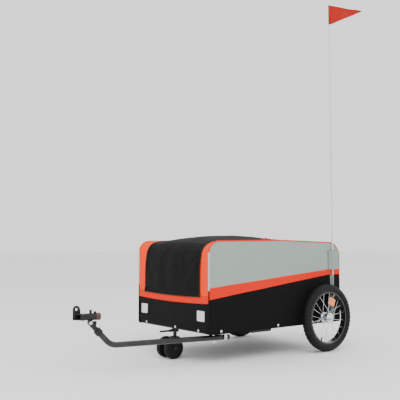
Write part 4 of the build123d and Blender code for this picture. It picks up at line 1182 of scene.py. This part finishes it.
@dataclass
class TowBar:
    """Small moulded and pressed pieces on the tow bar and its coupler."""

    palette: Palette
    yaw: float = -11.5
    rise: float = 47.2
    pivot: Vector = field(default_factory=lambda: Vector((0.15456, 0.226, 0.1065)))
    tail: float = 0.066
    plug_radii: tuple[float, float] = (0.0112, 0.0098)
    plug_depth: float = 0.004
    tab_size: tuple[float, float, float] = (0.034, 0.004, 0.020)
    tab_at: tuple[float, float] = (0.505, 0.192)
    tab_taper: float = 0.25
    fin_size: tuple[float, float, float] = (0.010, 0.004, 0.014)
    fin_at: tuple[float, float] = (0.520, 0.2365)
    knob_radius: float = 0.0055
    knob_at: tuple[float, float] = (0.503, 0.2325)
    edge: float = 0.0015

    def along(self, run: float, height: float) -> Vector:
        """A place on the bar's line at a run ahead of the pivot and a height."""
        turn = math.radians(self.yaw)
        return Vector(
            (self.pivot.x + run * math.cos(turn), self.pivot.y + run * math.sin(turn), height)
        )

    def set_down(self, mesh: bmesh.types.BMesh, spot: Vector, rise: float = 0.0) -> None:
        """Turn a mesh to the bar's heading, raised by an angle, and move it to a spot."""
        turn = Matrix.Rotation(math.radians(self.yaw), 4, "Z") @ Matrix.Rotation(
            -math.radians(rise), 4, "Y"
        )
        bmesh.ops.transform(mesh, matrix=Matrix.Translation(spot) @ turn, verts=mesh.verts[:])

    def build(self) -> None:
        """Make the end plug, the wing tab, the fin and the knob."""
        nylon = self.palette["nylon"]
        plug = bmesh.new()
        foot, tip = self.plug_radii
        bmesh.ops.create_cone(
            plug, cap_ends=True, segments=40, radius1=foot, radius2=tip, depth=self.plug_depth
        )
        bmesh.ops.rotate(plug, matrix=Matrix.Rotation(-math.pi / 2, 3, "Y"), verts=plug.verts[:])
        self.set_down(plug, self.along(-self.tail - 0.0021, self.pivot.z))
        finish_piece("tube_end_plug", plug, nylon, "towbar")
        tab = moulded_block(Vector(self.tab_size), self.edge)
        for vertex in tab.verts:
            if vertex.co.z > 0:
                vertex.co.x *= self.tab_taper
        self.set_down(tab, self.along(*self.tab_at), self.rise)
        finish_piece("wing_tab", tab, nylon, "towbar")
        fin = moulded_block(Vector(self.fin_size), self.edge)
        self.set_down(fin, self.along(*self.fin_at))
        finish_piece("release_fin", fin, nylon, "hitch_barrel")
        knob = bmesh.new()
        bmesh.ops.create_uvsphere(knob, u_segments=24, v_segments=12, radius=self.knob_radius)
        self.set_down(knob, self.along(*self.knob_at))
        finish_piece("barrel_knob", knob, nylon, "hitch_barrel")


@dataclass
class Flag:
    """The pennant, its pole sleeve and the pocket on the side panel."""

    palette: Palette
    pole: Vector = field(default_factory=lambda: Vector((-0.53044, 0.269, 0.0)))
    pole_radius: float = 0.003
    top: float = 1.644
    length: float = 0.198
    height: float = 0.093
    yaw: float = 14.0
    panel_y: float = 0.262
    cloth: float = 0.0012
    lift: float = 0.0022
    spread: float = 0.0062
    top_gap: float = 0.001
    sleeve_width: float = 0.027
    sleeve_low: float = 0.139
    sleeve_high: float = 0.343
    pocket_width: float = 0.078
    pocket_x: float = -0.54394
    pocket_low: float = 0.369
    pocket_high: float = 0.458
    round_pole: float = 1.12  # a patch's cut width to its width on the panel

    def build(self) -> None:
        """Make the pennant, sleeve and pocket."""
        self.pennant()
        foot, head = self.sleeve_low, self.sleeve_high
        self.patch("pole_sleeve", "sleeve", self.sleeve_width, foot, head, self.pole.x)
        low, width = self.pocket_low, self.pocket_width
        pocket = self.patch("pole_pocket", "pocket", width, low, self.pocket_high, self.pocket_x)
        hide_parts("flag_pockets")
        steps = 10
        for name, x, high in (
            ("front", self.pocket_x + width / 2, self.pocket_high),
            ("rear", self.pocket_x - 0.0385, self.pocket_high - 0.018),
        ):
            seam = [
                Vector((x, self.panel_y + 0.0026, low + (high - low) * i / steps))
                for i in range(steps + 1)
            ]
            tube_along(f"pocket_seam_{name}", seam, 0.0011, self.palette["seam"], "chassis")

    def pennant(self) -> None:
        """Make the triangular flag, level along its top, with a soft wave."""
        turn = math.radians(self.yaw)
        run = Vector((-math.cos(turn), math.sin(turn), 0))
        side = Vector((run.y, -run.x, 0))

        def place(u: float, v: float) -> Vector:
            """Lay a point of the flag, in a wave that grows to its tip."""
            reach = self.pole_radius + 0.001 + u * (self.length - 0.008)
            fall = self.height * (1 - u) * (1 - v)
            wave = 0.004 * math.sin(7 * u + 1.2 * v) * u + 0.002 * math.sin(15 * u + 2) * u
            spot = Vector((self.pole.x, self.pole.y, self.top - self.top_gap - fall))
            return spot + run * reach + side * wave

        mesh = laid_grid(70, 30, place, (self.length, self.height), -side)
        bmesh.ops.remove_doubles(mesh, verts=mesh.verts[:], dist=MERGE)
        piece = finish_piece("flag_cloth", mesh, self.palette["flag"], "flag_pole")
        thicken(piece, 0.0006, 0.0)
        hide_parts("pennant")
        hem, steps = self.palette["hem"], 40
        for name, v in (("top", 1.0), ("lower", 0.0)):
            points = [place(i / steps, v) for i in range(steps + 1)]
            tube_along(f"flag_hem_{name}", points, 0.0012, hem, "flag_pole")
        sleeve = bmesh.new()
        bmesh.ops.create_cone(
            sleeve, cap_ends=True, segments=24, radius1=0.0042, radius2=0.0042, depth=self.height
        )
        bmesh.ops.translate(
            sleeve, vec=(self.pole.x, self.pole.y, self.top - self.top_gap - self.height / 2),
            verts=sleeve.verts[:],
        )
        finish_piece("flag_hem_pole", sleeve, hem, "flag_pole")

    def patch(
        self, name: str, finish: str, width: float, low: float, high: float, x: float
    ) -> bpy.types.Object:
        """Make a cloth patch sewn to the side panel that bulges over the pole.

        Args:
            name: the piece's name.
            finish: its finish in the palette.
            width: its width along X.
            low: its lower edge.
            high: its upper edge.
            x: its middle.

        Returns:
            The piece.
        """

        def place(u: float, v: float) -> Vector:
            """Lay a point on the panel, or over the pole where that is."""
            at = x + width * (u - 0.5)
            off = (at - self.pole.x) / self.spread
            over = self.pole.y + self.pole_radius + self.cloth - self.panel_y
            bulge = over * math.exp(-(off**2) / 2)
            edge = smooth_step(u, 0.0, 0.12) * smooth_step(1 - u, 0.0, 0.12)
            z = low + v * (high - low)
            y = self.panel_y + self.lift + max(0.0, bulge - 0.001) * edge
            fine = ripple(Vector((at, 0, z)), size=0.03, height=0.0008, seed=51.0)
            return Vector((at, y + fine * edge, z))

        mesh = laid_grid(36, 40, place, (width, high - low), Vector((0, 1, 0)))
        piece = finish_piece(name, mesh, self.palette[finish], "chassis")
        thicken(piece, 0.0010)
        return piece


@dataclass
class FrameFinishes:
    """The finish of each rigid part of the frame."""

    palette: Palette
    nodes: dict[str, bpy.types.Object]
    choice: dict[str, tuple[str, ...]] = field(
        default_factory=lambda: {
            "board": ("floor_board",),
            "reflector": ("front_reflectors",),
            "red": ("rear_reflectors",),
            "amber": ("wheel_reflector",),
            "zinc": (
                "panel_screws", "frame_bolts", "axle_nuts", "axles", "bearings",
                "pivot_bolt", "towbar_hook", "pitch_pin", "hitch_pin",
            ),
            "spoke": ("spokes",),
            "hub": ("hub", "pole_ferrule"),
            "rim": ("rim",),
            "nylon": ("valve", "caster", "bar_clips", "pivot_bush", "skid_blocks"),
            "rubber": ("caster_wheel",),
            "cap": ("barrel_cap",),
            "tow_coat": ("towbar_tube",),
            "powder_coat": ("caster_post", "caster_axle"),
            "fibre": ("pole",),
        }
    )

    def dress(self) -> None:
        """Give every node of the frame its finish, by the longest matching name."""
        for name, node in self.nodes.items():
            matches = [
                (len(start), finish)
                for finish, starts in self.choice.items()
                for start in starts
                if name.startswith(start)
            ]
            finish = max(matches, default=(0, "powder_coat"))[1]
            node.data.materials.clear()
            node.data.materials.append(self.palette[finish])


@dataclass
class Studio:
    """Pale floor, soft light and the camera."""

    eye: Vector = field(default_factory=lambda: Vector((1.8106, 2.283, 0.491)))
    look: Vector = field(default_factory=lambda: Vector((-0.60873, -0.79045, 0.06802)))
    lens: float = 57.4
    aim: Vector = field(default_factory=lambda: Vector((-0.2, 0, 0.3)))
    sky: str = "#fcfcfc"
    sky_strength: float = 1.5

    def build(self) -> None:
        """Make the floor, world, lights and camera."""
        floor = bmesh.new()
        bmesh.ops.create_grid(floor, x_segments=4, y_segments=4, size=30.0)
        data = bpy.data.meshes.new("studio_floor")
        floor.to_mesh(data)
        floor.free()
        paint = Finish("FloorPaint", "#f2f2f0", 0.7, grain_mm=2.0, depth_mm=0.01).build()
        data.materials.append(paint)
        plane = bpy.data.objects.new("studio_floor", data)
        bpy.context.scene.collection.objects.link(plane)
        plane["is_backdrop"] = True
        world = bpy.data.worlds.new("studio_world")
        world.use_nodes = True
        background = world.node_tree.nodes["Background"]
        background.inputs["Color"].default_value = linear(self.sky)
        background.inputs["Strength"].default_value = self.sky_strength
        bpy.context.scene.world = world
        for name, spot, size, power in (
            ("key_light", (1.6, 2.6, 3.2), 2.6, 90.0),
            ("fill_light", (3.2, -1.6, 2.4), 2.4, 25.0),
            ("back_light", (-2.8, 1.2, 2.6), 2.2, 25.0),
        ):
            light = bpy.data.lights.new(name, "AREA")
            light.size = size
            light.energy = power
            holder = bpy.data.objects.new(name, light)
            holder.location = spot
            beam = self.aim - Vector(spot)
            holder.rotation_euler = beam.to_track_quat("-Z", "Y").to_euler()
            bpy.context.scene.collection.objects.link(holder)
        camera = bpy.data.cameras.new("camera")
        camera.lens = self.lens
        camera.sensor_width = 36.0
        camera.clip_end = 100.0
        holder = bpy.data.objects.new("camera", camera)
        holder.location = self.eye
        holder.rotation_euler = self.look.to_track_quat("-Z", "Y").to_euler()
        bpy.context.scene.collection.objects.link(holder)
        bpy.context.scene.camera = holder


def corners(box: tuple[Vector, Vector]) -> list[list[float]]:
    """A box's two corners as plain lists."""
    return [list(corner) for corner in box]


def main() -> None:
    """Build the trailer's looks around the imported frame."""
    logging.basicConfig(level=logging.INFO, format="%(name)s: %(message)s")
    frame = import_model()
    cad_box = corners(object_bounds())
    palette = Palette()
    FrameFinishes(palette, frame["nodes"]).dress()
    FabricBox(palette).build()
    for side in Side:
        RoadWheel(palette, side).build()
    TowBar(palette).build()
    Flag(palette).build()
    Studio().build()
    {"cad": cad_box, "visual": corners(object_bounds())}


if __name__ == "__main__":
    main()
